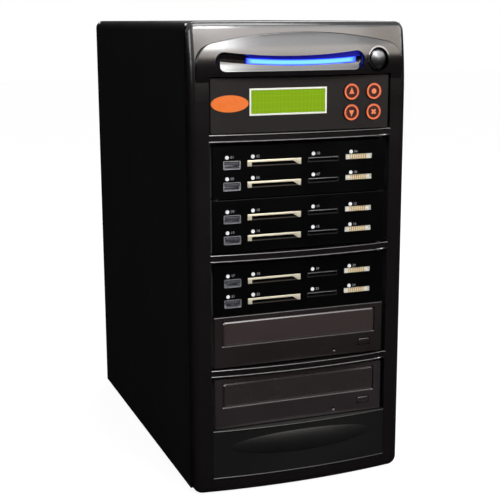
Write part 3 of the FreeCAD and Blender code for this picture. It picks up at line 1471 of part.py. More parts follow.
def fan_guard(name, x, z, face):
    wires = []
    for step in (1, 2, 3, 4):
        wires.append(hoop(name + "_ring", x, f"{face} + 2.5 * wire_radius", z, f"{step} * guard_step",
                          "wire_radius", "y"))
    for angle in (45, 135):
        turn = FreeCAD.Rotation(FreeCAD.Vector(0, 1, 0), angle)
        bar = doc.addObject("Part::Cylinder", name + "_bar")
        reach = "(fan_hole_pitch / sqrt(2) - fan_screw_head + wire_radius)"
        bind(bar, Radius="wire_radius", Height=f"2 * {reach}")
        slope = 1 if angle == 45 else -1
        seat(bar, f"{x} - {reach} / sqrt(2)", f"{face} + wire_radius", f"{z} - {slope} * {reach} / sqrt(2)", turn)
        wires.append(bar)
    for eye_x, eye_z in fan_spots(x, z):
        wires.append(hoop(name + "_eye", eye_x, f"{face} + wire_radius", eye_z, "fan_screw_head - wire_radius",
                          "wire_radius", "y"))
    return fuse(name, *wires)


def fan_screws(name, x, z, face):
    screws = []
    for hole_x, hole_z in fan_spots(x, z):
        head = rod(name + "_head", hole_x, f"{face} + 2 * wire_radius", hole_z, "fan_screw_head",
                   "fan_screw_head_t", "y")
        stem = rod(name + "_stem", hole_x, f"{face} - fan_screw_run", hole_z, "fan_screw",
                   "fan_screw_run + 2 * wire_radius", "y")
        screws.append(fuse(name, head, stem))
    return screws


def make_fans():
    spots = [("fan_rotor", "0", "fan_z", "panel_y + sheet_t"),
             ("psu_fan_rotor", "psu_fan_x", "psu_fan_z", "panel_y")]
    frames = []
    guards = []
    screws = []
    for node, x, z, face in spots:
        fan_rotor(node, x, z, f"{face} - sheet_t")
        frames.append(fan_frame(node + "_frame", x, z, f"{face} - sheet_t"))
        guards.append(fan_guard(node + "_guard", x, z, face))
        screws.extend(fan_screws(node + "_screw", x, z, face))
    keep("fan_frames", group("fan_frame_group", frames))
    keep("fan_guards", group("fan_guard_group", guards))
    keep("fan_screws", group("fan_screw_group", screws))


def export_parts():
    doc.recompute()
    for item in doc.Objects:
        if "Invalid" in item.State or "Error" in item.State:
            raise RuntimeError(f"{item.Label} did not build: {item.State}")
    os.makedirs("parts", exist_ok=True)
    for node, item in PARTS:
        shape = item.Shape
        if shape.isNull() or not shape.isValid() or not shape.Solids:
            raise RuntimeError(f"{node} has no sound solid")
        shape.exportStep(f"parts/{node}.step")


make_cover()
make_pan()
make_rear_panel()
make_front_frame()
keep("cage_walls", group("cage_group", [make_cage("cage_left", -1), make_cage("cage_right", 1)]))
make_feet()
make_chassis_screws()
make_bezel()
make_lower_cover()
keep("front_board", group("front_board_group", [make_light(), make_power()]))
make_controller()
make_unit_trays()
reader_boards = make_readers()
drive_boards = make_drives()
keep("unit_boards", group("board_group", reader_boards + drive_boards))
make_psu()
make_fans()
export_parts()
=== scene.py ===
import math

import bmesh
import bpy
from mathutils import Matrix, Vector


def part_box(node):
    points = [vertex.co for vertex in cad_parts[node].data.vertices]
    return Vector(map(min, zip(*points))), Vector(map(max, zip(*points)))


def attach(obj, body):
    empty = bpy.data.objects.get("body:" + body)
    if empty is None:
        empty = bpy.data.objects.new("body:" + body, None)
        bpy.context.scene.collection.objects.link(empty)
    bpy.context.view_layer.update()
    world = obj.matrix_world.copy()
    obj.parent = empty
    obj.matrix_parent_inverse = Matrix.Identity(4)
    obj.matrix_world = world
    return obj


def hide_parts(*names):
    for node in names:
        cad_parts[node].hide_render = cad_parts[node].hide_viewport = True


# Tower disc duplicator: a steel case with a bowed plastic front that holds a controller,
# three card readers, two optical drives and a cover over the unused bay
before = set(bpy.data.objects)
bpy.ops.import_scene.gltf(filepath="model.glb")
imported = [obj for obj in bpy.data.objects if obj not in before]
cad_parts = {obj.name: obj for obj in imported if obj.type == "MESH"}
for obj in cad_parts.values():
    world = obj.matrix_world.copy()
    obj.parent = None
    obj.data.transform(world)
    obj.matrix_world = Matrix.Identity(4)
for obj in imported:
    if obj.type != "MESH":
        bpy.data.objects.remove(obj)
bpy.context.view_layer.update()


# The view: a short telephoto lens a little left of the front and level with the tower's top.
# The picture is square, so the focal length in pixels gives the lens on a full-frame sensor.
MM = 0.001
VIEW_FROM = Vector((-338.1, -949.9, 382.1)) * MM
VIEW_YAW = math.radians(20.252)
VIEW_PITCH = math.radians(11.94)
VIEW_ROLL = math.radians(-0.22)
FOCAL_PIXELS = 1102.9
IMAGE_PIXELS = 500
SENSOR_WIDTH = 36

scene = bpy.context.scene
camera_data = bpy.data.cameras.new("front_camera")
camera_data.sensor_width = SENSOR_WIDTH
camera_data.lens = FOCAL_PIXELS / IMAGE_PIXELS * SENSOR_WIDTH
camera = bpy.data.objects.new("front_camera", camera_data)
scene.collection.objects.link(camera)
ahead = Vector((
    math.sin(VIEW_YAW) * math.cos(VIEW_PITCH),
    math.cos(VIEW_YAW) * math.cos(VIEW_PITCH),
    -math.sin(VIEW_PITCH),
))
level_right = Vector((math.cos(VIEW_YAW), -math.sin(VIEW_YAW), 0))
level_up = level_right.cross(ahead)
right = level_right * math.cos(VIEW_ROLL) + level_up * math.sin(VIEW_ROLL)
up = right.cross(ahead)
camera.matrix_world = Matrix.Translation(VIEW_FROM) @ Matrix((right, up, -ahead)).transposed().to_4x4()
scene.camera = camera
scene.view_settings.view_transform = "Standard"


# The studio: a pale floor in a white surround, soft lamps in front, on the left and behind, panels
# that only show in gloss, and a dark table card, skirt and flags that the black faces mirror.
CHANNEL_PLACES = (1, 3, 5)
CHANNEL_FULL = 255
SRGB_KNEE = 0.04045
SRGB_SLOPE = 12.92
SRGB_OFFSET = 0.055
SRGB_POWER = 2.4
PAPER_WHITE = "#ffffff"
FLOOR_GREY = "#d8d8d8"
CARD_BLACK = "#060606"
AMBIENT_LEVEL = 0.28
FLOOR_GLOW = 1.33
FLOOR_SHADOW_SHARE = 0.30
FLOOR_HALF = 6.0
CARD_HALF = 6.0
CARD_LIFT = 0.2 * MM
SKIRT_RADIUS = 3.2
SKIRT_HEIGHT = 0.8
FLAG_X = 1.7
FLAG_Y = 2.2
FLAG_SIZE = 3.0
WARM_CARD = "#fff0e2"
LAMP_TARGET = (0, -0.15, 0.22)
CREST_TARGET = (0, -0.15, 0.36)


def linear(colour):
    """The linear RGBA of an sRGB hex colour."""
    rgba = []
    for place in CHANNEL_PLACES:
        share = int(colour[place:place + 2], base=16) / CHANNEL_FULL
        if share <= SRGB_KNEE:
            rgba.append(share / SRGB_SLOPE)
        else:
            rgba.append(((share + SRGB_OFFSET) / (1 + SRGB_OFFSET)) ** SRGB_POWER)
    return (*rgba, 1)


def feed(tree, node, inputs):
    """Set or link the inputs of a node."""
    for socket, value in inputs.items():
        if isinstance(value, bpy.types.NodeSocket):
            tree.links.new(value, node.inputs[socket])
        else:
            node.inputs[socket].default_value = value


def add_node(tree, kind, inputs, **settings):
    """Add a node, set its properties, and feed its inputs."""
    node = tree.nodes.new(kind)
    for name, value in settings.items():
        setattr(node, name, value)
    feed(tree, node, inputs)
    return node


def seen_directly(tree):
    """One for rays from the camera and for those that metal and glass send on, else nought."""
    path = add_node(tree, "ShaderNodeLightPath", {})
    glossy = add_node(tree, "ShaderNodeMath", {
        0: path.outputs["Is Camera Ray"],
        1: path.outputs["Is Glossy Ray"],
    }, operation="MAXIMUM")
    return add_node(tree, "ShaderNodeMath", {
        0: glossy.outputs[0],
        1: path.outputs["Is Transmission Ray"],
    }, operation="MAXIMUM").outputs[0]


surround = bpy.data.worlds.new("white_surround")
surround.use_nodes = True
scene.world = surround
surround.node_tree.nodes.clear()
ambient = add_node(surround.node_tree, "ShaderNodeBackground", {
    "Color": linear(PAPER_WHITE),
    "Strength": AMBIENT_LEVEL,
})
white = add_node(surround.node_tree, "ShaderNodeBackground", {
    "Color": linear(PAPER_WHITE),
    "Strength": 1,
})
shown = add_node(surround.node_tree, "ShaderNodeMixShader", {
    0: seen_directly(surround.node_tree),
    1: ambient.outputs[0],
    2: white.outputs[0],
})
add_node(surround.node_tree, "ShaderNodeOutputWorld", {"Surface": shown.outputs[0]})


def deselect():
    """Leave nothing selected, and no edit mode."""
    if bpy.context.mode != "OBJECT":
        bpy.ops.object.mode_set(mode="OBJECT")
    bpy.ops.object.select_all(action="DESELECT")


deselect()
bpy.ops.mesh.primitive_plane_add(size=2 * FLOOR_HALF, location=(0, 0, 0))
floor = bpy.context.object
floor.name = "studio_floor"
floor_paint = bpy.data.materials.new("pale_floor")
floor_paint.use_nodes = True
floor_tree = floor_paint.node_tree
floor_tree.nodes.clear()
floor_matt = add_node(floor_tree, "ShaderNodeBsdfDiffuse", {"Color": linear(FLOOR_GREY)})
floor_glow = add_node(floor_tree, "ShaderNodeEmission", {
    "Color": linear(PAPER_WHITE),
    "Strength": FLOOR_GLOW,
})
floor_part = add_node(floor_tree, "ShaderNodeMixShader", {
    0: FLOOR_SHADOW_SHARE,
    1: floor_glow.outputs[0],
    2: floor_matt.outputs[0],
})
floor_whole = add_node(floor_tree, "ShaderNodeMixShader", {
    0: seen_directly(floor_tree),
    1: floor_matt.outputs[0],
    2: floor_part.outputs[0],
})
add_node(floor_tree, "ShaderNodeOutputMaterial", {"Surface": floor_whole.outputs[0]})
floor.data.materials.append(floor_paint)

card_paint = bpy.data.materials.new("black_card")
card_paint.use_nodes = True
card_tree = card_paint.node_tree
card_tree.nodes.clear()
card_matt = add_node(card_tree, "ShaderNodeBsdfDiffuse", {"Color": linear(CARD_BLACK)})
add_node(card_tree, "ShaderNodeOutputMaterial", {"Surface": card_matt.outputs[0]})


def stand_dark(name):
    """Make the new object a dark card of the studio, which only gloss can see."""
    card = bpy.context.object
    card.name = name
    card.data.materials.append(card_paint)
    card.visible_camera = False
    card.visible_diffuse = False
    card.visible_shadow = False
    card.visible_transmission = False


deselect()
bpy.ops.mesh.primitive_plane_add(size=2 * CARD_HALF, location=(0, 0, CARD_LIFT))
stand_dark("table_card")
deselect()
bpy.ops.mesh.primitive_cylinder_add(radius=SKIRT_RADIUS, depth=SKIRT_HEIGHT, end_fill_type="NOTHING",
                                    location=(0, 0, SKIRT_HEIGHT / 2))
stand_dark("dark_skirt")
for name, flag_x in (("left_flag", -FLAG_X), ("right_flag", FLAG_X)):
    deselect()
    bpy.ops.mesh.primitive_plane_add(size=FLAG_SIZE, location=(flag_x, FLAG_Y, FLAG_SIZE / 2),
                                     rotation=(math.pi / 2, 0, 0))
    stand_dark(name)


def soft_lamp(name, place, target, width, height, watts, colour=PAPER_WHITE, gloss_only=False):
    """A rectangular softbox that faces a point, or a panel that only shows in gloss."""
    data = bpy.data.lights.new(name, "AREA")
    data.shape = "RECTANGLE"
    data.size = width
    data.size_y = height
    data.energy = watts
    data.color = linear(colour)[:3]
    lamp = bpy.data.objects.new(name, data)
    scene.collection.objects.link(lamp)
    lamp.location = place
    lamp.rotation_mode = "QUATERNION"
    lamp.rotation_quaternion = (Vector(target) - Vector(place)).to_track_quat("-Z", "Y")
    lamp.visible_camera = False
    lamp.visible_diffuse = not gloss_only


soft_lamp("front_softbox", (0.50, -1.55, 1.15), LAMP_TARGET, width=1.2, height=1.2, watts=21)
soft_lamp("left_strip", (-1.30, -1.10, 0.95), LAMP_TARGET, width=0.4, height=1.0, watts=3)
soft_lamp("back_softbox", (0.80, 1.60, 1.10), LAMP_TARGET, width=1.2, height=1.2, watts=14)
soft_lamp("low_panel", (0.70, -1.70, 0.86), CREST_TARGET, width=2.4, height=0.56, watts=19,
          colour=WARM_CARD, gloss_only=True)
soft_lamp("high_panel", (0.50, -1.45, 1.45), CREST_TARGET, width=1.8, height=1.0, watts=10,
          gloss_only=True)
soft_lamp("right_panel", (1.55, -1.05, 1.00), CREST_TARGET, width=0.6, height=0.8, watts=9,
          gloss_only=True)
soft_lamp("crest_panel", (-0.06, -1.42, 1.32), CREST_TARGET, width=0.46, height=0.74, watts=40,
          gloss_only=True)
soft_lamp("left_panel", (-1.45, -1.00, 0.85), CREST_TARGET, width=0.6, height=0.5, watts=6,
          gloss_only=True)
soft_lamp("top_panel", (0.10, -0.42, 1.75), CREST_TARGET, width=1.0, height=0.9, watts=28,
          gloss_only=True)


# Wrap-around cover: one sheet of 1 mm steel bent over the top and both sides, powder coated
# in matt black. The coat gives a fine pebble that breaks up what little it reflects. It is drawn
# coarse enough to show.
COVER_COAT = "#141414"
COAT_PEBBLE = 1.1 * MM
COAT_CLOUD = 60 * MM
NOISE_LOW = 0.3
NOISE_HIGH = 0.7


def begin_material(name):
    """A new material with its tree, its shader and the object's own coordinates."""
    material = bpy.data.materials.new(name)
    material.use_nodes = True
    tree = material.node_tree
    place = add_node(tree, "ShaderNodeTexCoord", {}).outputs["Object"]
    return material, tree, tree.nodes["Principled BSDF"], place


def grained(name, colour, roughness, grain, relief, cloud,
            uneven=0.06, tone=0.10, specular=0.5, metallic=0):
    """A moulded, painted or rolled surface: grain in relief, and broad clouds of gloss and tone.

    The grain of moulded plastic is too fine to show, so it is drawn about half a millimetre wide or more.
    """
    material, tree, shader, place = begin_material(name)
    fine = add_node(tree, "ShaderNodeTexNoise", {"Vector": place, "Scale": 1 / grain, "Detail": 3})
    broad = add_node(tree, "ShaderNodeTexNoise", {"Vector": place, "Scale": 1 / cloud, "Detail": 4})
    gloss = add_node(tree, "ShaderNodeMapRange", {
        "Value": broad.outputs["Fac"],
        "From Min": NOISE_LOW,
        "From Max": NOISE_HIGH,
        "To Min": roughness - uneven,
        "To Max": roughness + uneven,
    })
    shade = add_node(tree, "ShaderNodeMapRange", {
        "Value": fine.outputs["Fac"],
        "From Min": NOISE_LOW,
        "From Max": NOISE_HIGH,
        "To Min": 1 - tone,
        "To Max": 1 + tone,
    })
    tint = add_node(tree, "ShaderNodeHueSaturation", {"Color": linear(colour), "Value": shade.outputs[0]})
    bump = add_node(tree, "ShaderNodeBump", {
        "Height": fine.outputs["Fac"],
        "Strength": 1,
        "Distance": relief,
    })
    feed(tree, shader, {
        "Base Color": tint.outputs[0],
        "Roughness": gloss.outputs[0],
        "Normal": bump.outputs[0],
        "Specular IOR Level": specular,
        "Metallic": metallic,
    })
    return material


def dress(material, *nodes):
    """Give CAD nodes a finish in place of the plain one they came with."""
    for node in nodes:
        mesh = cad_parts[node].data
        mesh.materials.clear()
        mesh.materials.append(material)


powder_coat = grained("matt_powder_coat", COVER_COAT, roughness=0.66, grain=COAT_PEBBLE,
                      relief=0.02 * MM, cloud=COAT_CLOUD, specular=0.03)
dress(powder_coat, "wrap_cover")


# Chassis: pan, rear panel, front frame, cage walls, bay trays, drive cans and supply case, all
# folded from zinc-plated steel. The plating shows as pale, faintly crystalline grey.
ZINC_GREY = "#a9abad"
ZINC_SPANGLE = 7 * MM
ZINC_STREAK = 0.9 * MM
ZINC_METAL = 0.6
SPANGLE_GLOSS = 0.06
SPANGLE_DARK = 0.93
SPANGLE_PALE = 1.05
ROLLING_STRETCH = (0.04, 0.04, 1)
ROLLING_RELIEF = 0.006 * MM


def plated_sheet(name, colour, roughness, spangle, streak):
    """Zinc on rolled sheet: crystals that differ in gloss and tone, over rolling lines drawn coarse."""
    material, tree, shader, place = begin_material(name)
    crystals = add_node(tree, "ShaderNodeTexVoronoi", {"Vector": place, "Scale": 1 / spangle})
    lines = add_node(tree, "ShaderNodeMapping", {"Vector": place, "Scale": ROLLING_STRETCH})
    rolled = add_node(tree, "ShaderNodeTexNoise", {
        "Vector": lines.outputs[0],
        "Scale": 1 / streak,
        "Detail": 2,
    })
    gloss = add_node(tree, "ShaderNodeMapRange", {
        "Value": crystals.outputs["Color"],
        "To Min": roughness - SPANGLE_GLOSS,
        "To Max": roughness + SPANGLE_GLOSS,
    })
    shade = add_node(tree, "ShaderNodeMapRange", {
        "Value": crystals.outputs["Color"],
        "To Min": SPANGLE_DARK,
        "To Max": SPANGLE_PALE,
    })
    tint = add_node(tree, "ShaderNodeHueSaturation", {"Color": linear(colour), "Value": shade.outputs[0]})
    bump = add_node(tree, "ShaderNodeBump", {
        "Height": rolled.outputs["Fac"],
        "Strength": 1,
        "Distance": ROLLING_RELIEF,
    })
    feed(tree, shader, {
        "Base Color": tint.outputs[0],
        "Roughness": gloss.outputs[0],
        "Normal": bump.outputs[0],
        "Metallic": ZINC_METAL,
    })
    return material


zinc_sheet = plated_sheet("zinc_plated_sheet", ZINC_GREY, roughness=0.42, spangle=ZINC_SPANGLE,
                          streak=ZINC_STREAK)
dress(zinc_sheet, "base_pan", "rear_panel", "front_frame", "cage_walls", "unit_trays", "psu_case",
      "drive_1_case", "drive_2_case")


# Feet: four moulded rubber buttons with a hollow underside, pushed into the pan. Rubber is
# matt, with a dusty bloom.
RUBBER_BLACK = "#151515"
RUBBER_GRAIN = 0.7 * MM
RUBBER_BLOOM = 8 * MM

soft_rubber = grained("moulded_rubber", RUBBER_BLACK, roughness=0.78, grain=RUBBER_GRAIN,
                      relief=0.02 * MM, cloud=RUBBER_BLOOM, tone=0.18, specular=0.35)
dress(soft_rubber, "rubber_feet")


# Fasteners: pan-head screws in the bays and fans, ground guide rods and wire fan guards, all bright
# zinc over steel, and six turned thumb screws with knurled heads that hold the cover at the back.
SCREW_GREY = "#b4b5b6"
SCREW_SCRATCH = 0.5 * MM
SCREW_TARNISH = 4 * MM
THUMB_X = 85.8 * MM
THUMB_ROWS = (30.0 * MM, 191.3 * MM, 352.6 * MM)
THUMB_SEAT = 155.0 * MM
THUMB_RADIUS = 4.0 * MM
THUMB_DEPTH = 3.6 * MM
THUMB_SHANK = 1.6 * MM
THUMB_RUN = 7.0 * MM
KNURL_TEETH = 18
KNURL_EDGE = 0.12 * MM
KNURL_SINK = 0.3 * MM
HALF_FACE = 0.5
DISH_RIM = 0.9 * MM
DISH_SINK = 0.6 * MM
SMOOTH_ANGLE = math.radians(35)
FACING = 0.9
SIDEWAYS = 0.1

bright_zinc = grained("bright_zinc", SCREW_GREY, roughness=0.28, grain=SCREW_SCRATCH, relief=0.01 * MM,
                      cloud=SCREW_TARNISH, tone=0.06, metallic=1)
dress(bright_zinc, "cover_screws", "unit_screws", "fan_screws", "fan_guards", "guide_rods")


def open_piece(name):
    """Name a new primitive, put its place in its mesh and open it for editing."""
    piece = bpy.context.object
    piece.name = name
    piece.data.name = name
    bpy.ops.object.transform_apply(location=True, rotation=True, scale=True)
    bpy.ops.object.mode_set(mode="EDIT")
    return piece


def pick_faces(test):
    """In edit mode, select the faces whose middle and normal pass a test."""
    bpy.ops.mesh.select_mode(type="FACE")
    bpy.ops.mesh.select_all(action="DESELECT")
    mesh = bmesh.from_edit_mesh(bpy.context.edit_object.data)
    for face in mesh.faces:
        face.select_set(test(face.calc_center_median(), face.normal))
    bmesh.update_edit_mesh(bpy.context.edit_object.data)


def pick_edges(test):
    """In edit mode, select the edges whose two ends pass a test."""
    bpy.ops.mesh.select_mode(type="EDGE")
    bpy.ops.mesh.select_all(action="DESELECT")
    mesh = bmesh.from_edit_mesh(bpy.context.edit_object.data)
    for edge in mesh.edges:
        edge.select_set(test(edge.verts[0].co, edge.verts[1].co))
    bmesh.update_edit_mesh(bpy.context.edit_object.data)


def extrude(run):
    """Extrude the picked faces along a run."""
    bpy.ops.mesh.extrude_region_move(TRANSFORM_OT_translate={"value": run})


def close_piece(piece, material):
    """Turn the faces outwards, leave edit mode, smooth the piece and give it its finish."""
    bpy.ops.mesh.select_all(action="SELECT")
    bpy.ops.mesh.normals_make_consistent(inside=False)
    bpy.ops.object.mode_set(mode="OBJECT")
    bpy.ops.object.shade_smooth_by_angle(angle=SMOOTH_ANGLE)
    piece.data.materials.clear()
    piece.data.materials.append(material)


def copy_piece(piece, name, move):
    """A copy of a piece, with its own mesh, moved to another place."""
    deselect()
    piece.select_set(True)
    bpy.context.view_layer.objects.active = piece
    bpy.ops.object.duplicate(linked=False)
    twin = bpy.context.object
    twin.name = name
    twin.data.name = name
    bpy.ops.transform.translate(value=move)
    bpy.ops.object.transform_apply(location=True, rotation=True, scale=True)
    return twin


def join_pieces(pieces):
    """Make one object of several."""
    deselect()
    for piece in pieces:
        piece.select_set(True)
    bpy.context.view_layer.objects.active = pieces[0]
    bpy.ops.object.join()
    return pieces[0]


def carry(piece, body):
    """Let a piece ride on a body."""
    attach(piece, body)


deselect()
bpy.ops.mesh.primitive_cylinder_add(
    vertices=2 * KNURL_TEETH,
    radius=THUMB_RADIUS,
    depth=THUMB_DEPTH,
    location=(-THUMB_X, THUMB_SEAT + THUMB_DEPTH / 2, THUMB_ROWS[0]),
    rotation=(math.pi / 2, 0, 0),
)
thumb = open_piece("thumb_screws")
pick_faces(lambda middle, normal: normal.y > FACING)
bpy.ops.mesh.inset(thickness=DISH_RIM, depth=0)
bpy.ops.mesh.inset(thickness=DISH_SINK, depth=-DISH_SINK)
pick_faces(lambda middle, normal: normal.y < -FACING)
bpy.ops.mesh.inset(thickness=THUMB_RADIUS - THUMB_SHANK, depth=0)
extrude((0, -THUMB_RUN, 0))


def knurl_groove(middle, normal):
    """Every second face around the head."""
    if abs(normal.y) > SIDEWAYS or middle.y < THUMB_SEAT:
        return False
    turn = math.atan2(middle.z - THUMB_ROWS[0], middle.x + THUMB_X)
    return round(turn * KNURL_TEETH / math.pi - HALF_FACE) % 2 == 0


pick_faces(knurl_groove)
bpy.ops.mesh.inset(thickness=KNURL_EDGE, depth=-KNURL_SINK, use_individual=True)
close_piece(thumb, bright_zinc)
thumbs = [thumb]
for side in (0, 2 * THUMB_X):
    for row in THUMB_ROWS:
        if side or row != THUMB_ROWS[0]:
            thumbs.append(copy_piece(thumb, "thumb_screw", (side, 0, row - THUMB_ROWS[0])))
thumb = join_pieces(thumbs)
carry(thumb, "tower")
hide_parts("cover_screws")


# Front bezel and bay cover: injection-moulded black ABS, polished to a satin gloss, with a very
# slight ripple. They mirror a lamp as soft silver where their faces lean back.
BEZEL_BLACK = "#141112"
COVER_BLACK = "#121212"
BEZEL_RIPPLE = 5 * MM
BEZEL_CLOUD = 45 * MM

satin_abs = grained("satin_black_abs", BEZEL_BLACK, roughness=0.19, grain=BEZEL_RIPPLE,
                    relief=0.004 * MM, cloud=BEZEL_CLOUD, uneven=0.03, tone=0.05)
soft_abs = grained("soft_black_abs", COVER_BLACK, roughness=0.36, grain=BEZEL_RIPPLE,
                   relief=0.004 * MM, cloud=BEZEL_CLOUD, uneven=0.03, tone=0.05, specular=0.25)
dress(satin_abs, "front_bezel")
dress(soft_abs, "lower_cover")


# Slot light: a curved strip of milky acrylic at the bottom of the slot, lit from behind by a row
# of blue lamps. Its middle runs to pale cyan and its edges to deep blue.
LIGHT_CORE = "#4a86ff"
LIGHT_EDGE = "#0a1cff"
LIGHT_GAIN = 3.4
LIGHT_FADE = 5 * MM
LIGHT_RADIUS = 588 * MM
LIGHT_HALF_HEIGHT = 2.1 * MM
CORE_SHARE = 0.45
SEEN_FROM_FRONT = (1, 0, 1)

light_low, light_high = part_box("light_bar")
acrylic, light_tree, light_shader, light_place = begin_material("lit_blue_acrylic")
light_axis = ((light_low.x + light_high.x) / 2, 0, light_low.z + LIGHT_RADIUS + LIGHT_HALF_HEIGHT)
from_axis = add_node(light_tree, "ShaderNodeVectorMath", {
    0: light_place,
    1: light_axis,
}, operation="SUBTRACT")
flat_reach = add_node(light_tree, "ShaderNodeVectorMath", {
    0: from_axis.outputs[0],
    1: SEEN_FROM_FRONT,
}, operation="MULTIPLY")
reach = add_node(light_tree, "ShaderNodeVectorMath", {0: flat_reach.outputs[0]}, operation="LENGTH")
off_line = add_node(light_tree, "ShaderNodeMath", {
    0: reach.outputs["Value"],
    1: LIGHT_RADIUS,
}, operation="SUBTRACT")
off_core = add_node(light_tree, "ShaderNodeMath", {0: off_line.outputs[0]}, operation="ABSOLUTE")
edge_share = add_node(light_tree, "ShaderNodeMapRange", {
    "Value": off_core.outputs[0],
    "From Min": CORE_SHARE * LIGHT_HALF_HEIGHT,
    "From Max": LIGHT_HALF_HEIGHT,
})
light_axes = add_node(light_tree, "ShaderNodeSeparateXYZ", {"Vector": from_axis.outputs[0]})
off_middle = add_node(light_tree, "ShaderNodeMath", {0: light_axes.outputs["X"]}, operation="ABSOLUTE")
light_half = (light_high.x - light_low.x) / 2
end_share = add_node(light_tree, "ShaderNodeMapRange", {
    "Value": off_middle.outputs[0],
    "From Min": light_half - LIGHT_FADE,
    "From Max": light_half,
})
rim_share = add_node(light_tree, "ShaderNodeMath", {
    0: edge_share.outputs[0],
    1: end_share.outputs[0],
}, operation="MAXIMUM")
glow = add_node(light_tree, "ShaderNodeMix", {
    "Factor": rim_share.outputs[0],
    "A": linear(LIGHT_CORE),
    "B": linear(LIGHT_EDGE),
}, data_type="RGBA")
feed(light_tree, light_shader, {
    "Base Color": linear(LIGHT_EDGE),
    "Roughness": 0.3,
    "Emission Color": glow.outputs["Result"],
    "Emission Strength": LIGHT_GAIN,
})
dress(acrylic, "light_bar")


# Slot sill and halo: a strip of the bezel's plastic stands on the slot's floor under the light, hollowed
# along its front so that it mirrors the lamps, and a thin blue strip over the light glows as painted
# light, standing for the light's glow on the slot's upper wall.
# Both are cut from bars by the bow of the crest, the curve of the light and the curve of the slot.
PAINTED_GLOW_BLUE = "#0a0684"
PAINTED_GLOW_DEEP = "#040264"
HALO_CLOUD = 9 * MM
BOW_AXIS = 427.0 * MM
CURVE_SIDES = 720
HOLLOW_SIDES = 96
SILL_LEFT = -67.4 * MM
SILL_RIGHT = 47.0 * MM
SILL_FLOOR = 341.45 * MM
SILL_TALL = 12.0 * MM
SILL_DEEP = 16.0 * MM
SILL_CORNER = 3.2 * MM
SILL_LIP = 585.9 * MM
SILL_BACK = 584.6 * MM
BACK_SLOPE = 0.2275
HOLLOW_AXIS = 603.4 * MM
HOLLOW_RADIUS = 20.2 * MM
HOLLOW_HEIGHT = 351.55 * MM
LIGHT_GAP = 0.2 * MM
TOOL_DEPTH = 40 * MM
HALO_LEFT = -45.0 * MM
HALO_RIGHT = 48.0 * MM
HALO_FRONT = -154.6 * MM
HALO_THICK = 0.4 * MM
SLOT_MIDDLE = -10.65 * MM
SLOT_CURVE = 429.1 * MM
SLOT_CROWN = 352.6 * MM


def carve(piece, tool, operation):
    """Cut a piece with a tool, or keep only what lies inside it, and take the tool away."""
    deselect()
    piece.select_set(True)
    bpy.context.view_layer.objects.active = piece
    cut = piece.modifiers.new("carve", "BOOLEAN")
    cut.operation = operation
    cut.solver = "EXACT"
    cut.object = tool
    bpy.ops.object.modifier_apply(modifier=cut.name)
    bpy.data.objects.remove(tool)


def curve_tool(radius, middle):
    """A wide drum across the front of the tower, to cut along a curve seen from the front."""
    deselect()
    bpy.ops.mesh.primitive_cylinder_add(vertices=CURVE_SIDES, radius=radius, depth=TOOL_DEPTH,
                                        location=(middle[0], light_low.y, middle[1]),
                                        rotation=(math.pi / 2, 0, 0))
    return bpy.context.object


def bow_tool(radius, slope):
    """A wide drum about the crest's upright axis, narrower towards its top by a slope."""
    deselect()
    bpy.ops.mesh.primitive_cone_add(vertices=CURVE_SIDES, radius1=radius + slope * TOOL_DEPTH / 2,
                                    radius2=radius - slope * TOOL_DEPTH / 2, depth=TOOL_DEPTH,
                                    location=(0, BOW_AXIS, SILL_FLOOR))
    return bpy.context.object


deselect()
bpy.ops.mesh.primitive_cube_add(
    size=1,
    location=(
        (SILL_LEFT + SILL_RIGHT) / 2,
        BOW_AXIS - SILL_LIP + SILL_DEEP / 2,
        SILL_FLOOR + SILL_TALL / 2,
    ),
    scale=(SILL_RIGHT - SILL_LEFT, SILL_DEEP, SILL_TALL),
)
sill = open_piece("slot_sill")
for end in (SILL_LEFT, SILL_RIGHT):
    pick_edges(lambda first, second: max(abs(first.x - end), abs(second.x - end)) < LIGHT_GAP
               and max(first.z, second.z) < SILL_FLOOR + LIGHT_GAP)
    bpy.ops.mesh.bevel(offset=SILL_CORNER, segments=6, affect="EDGES")
bpy.ops.object.mode_set(mode="OBJECT")
carve(sill, bow_tool(SILL_LIP, 0), "INTERSECT")
carve(sill, bow_tool(SILL_BACK, BACK_SLOPE), "DIFFERENCE")
light_foot = LIGHT_RADIUS + LIGHT_HALF_HEIGHT + LIGHT_GAP
carve(sill, curve_tool(light_foot, (light_axis[0], light_axis[2])), "DIFFERENCE")
deselect()
bpy.ops.mesh.primitive_torus_add(major_radius=HOLLOW_AXIS, minor_radius=HOLLOW_RADIUS,
                                 major_segments=CURVE_SIDES, minor_segments=HOLLOW_SIDES,
                                 location=(0, BOW_AXIS, HOLLOW_HEIGHT))
carve(sill, bpy.context.object, "DIFFERENCE")
bpy.ops.object.mode_set(mode="EDIT")
close_piece(sill, satin_abs)
carry(sill, "tower")

# The strip is no lamp: its blue glow is painted light, standing for the slot light's glow on the wall
# above it.
painted_glow, halo_tree, halo_shader, halo_place = begin_material("painted_blue_glow")
halo_cloud = add_node(halo_tree, "ShaderNodeTexNoise", {
    "Vector": halo_place,
    "Scale": 1 / HALO_CLOUD,
    "Detail": 2,
})
halo_glow = add_node(halo_tree, "ShaderNodeMix", {
    "Factor": halo_cloud.outputs["Fac"],
    "A": linear(PAINTED_GLOW_BLUE),
    "B": linear(PAINTED_GLOW_DEEP),
}, data_type="RGBA")
feed(halo_tree, halo_shader, {
    "Base Color": linear(PAINTED_GLOW_DEEP),
    "Roughness": 0.4,
    "Specular IOR Level": 0.1,
    "Emission Color": halo_glow.outputs["Result"],
    "Emission Strength": 1,
})
deselect()
bpy.ops.mesh.primitive_cube_add(
    size=1,
    location=((HALO_LEFT + HALO_RIGHT) / 2, HALO_FRONT + HALO_THICK / 2, SILL_FLOOR + SILL_TALL),
    scale=(HALO_RIGHT - HALO_LEFT, HALO_THICK, 2 * SILL_TALL),
)
halo = open_piece("slot_painted_glow")
bpy.ops.object.mode_set(mode="OBJECT")
light_head = LIGHT_RADIUS - LIGHT_HALF_HEIGHT - LIGHT_GAP
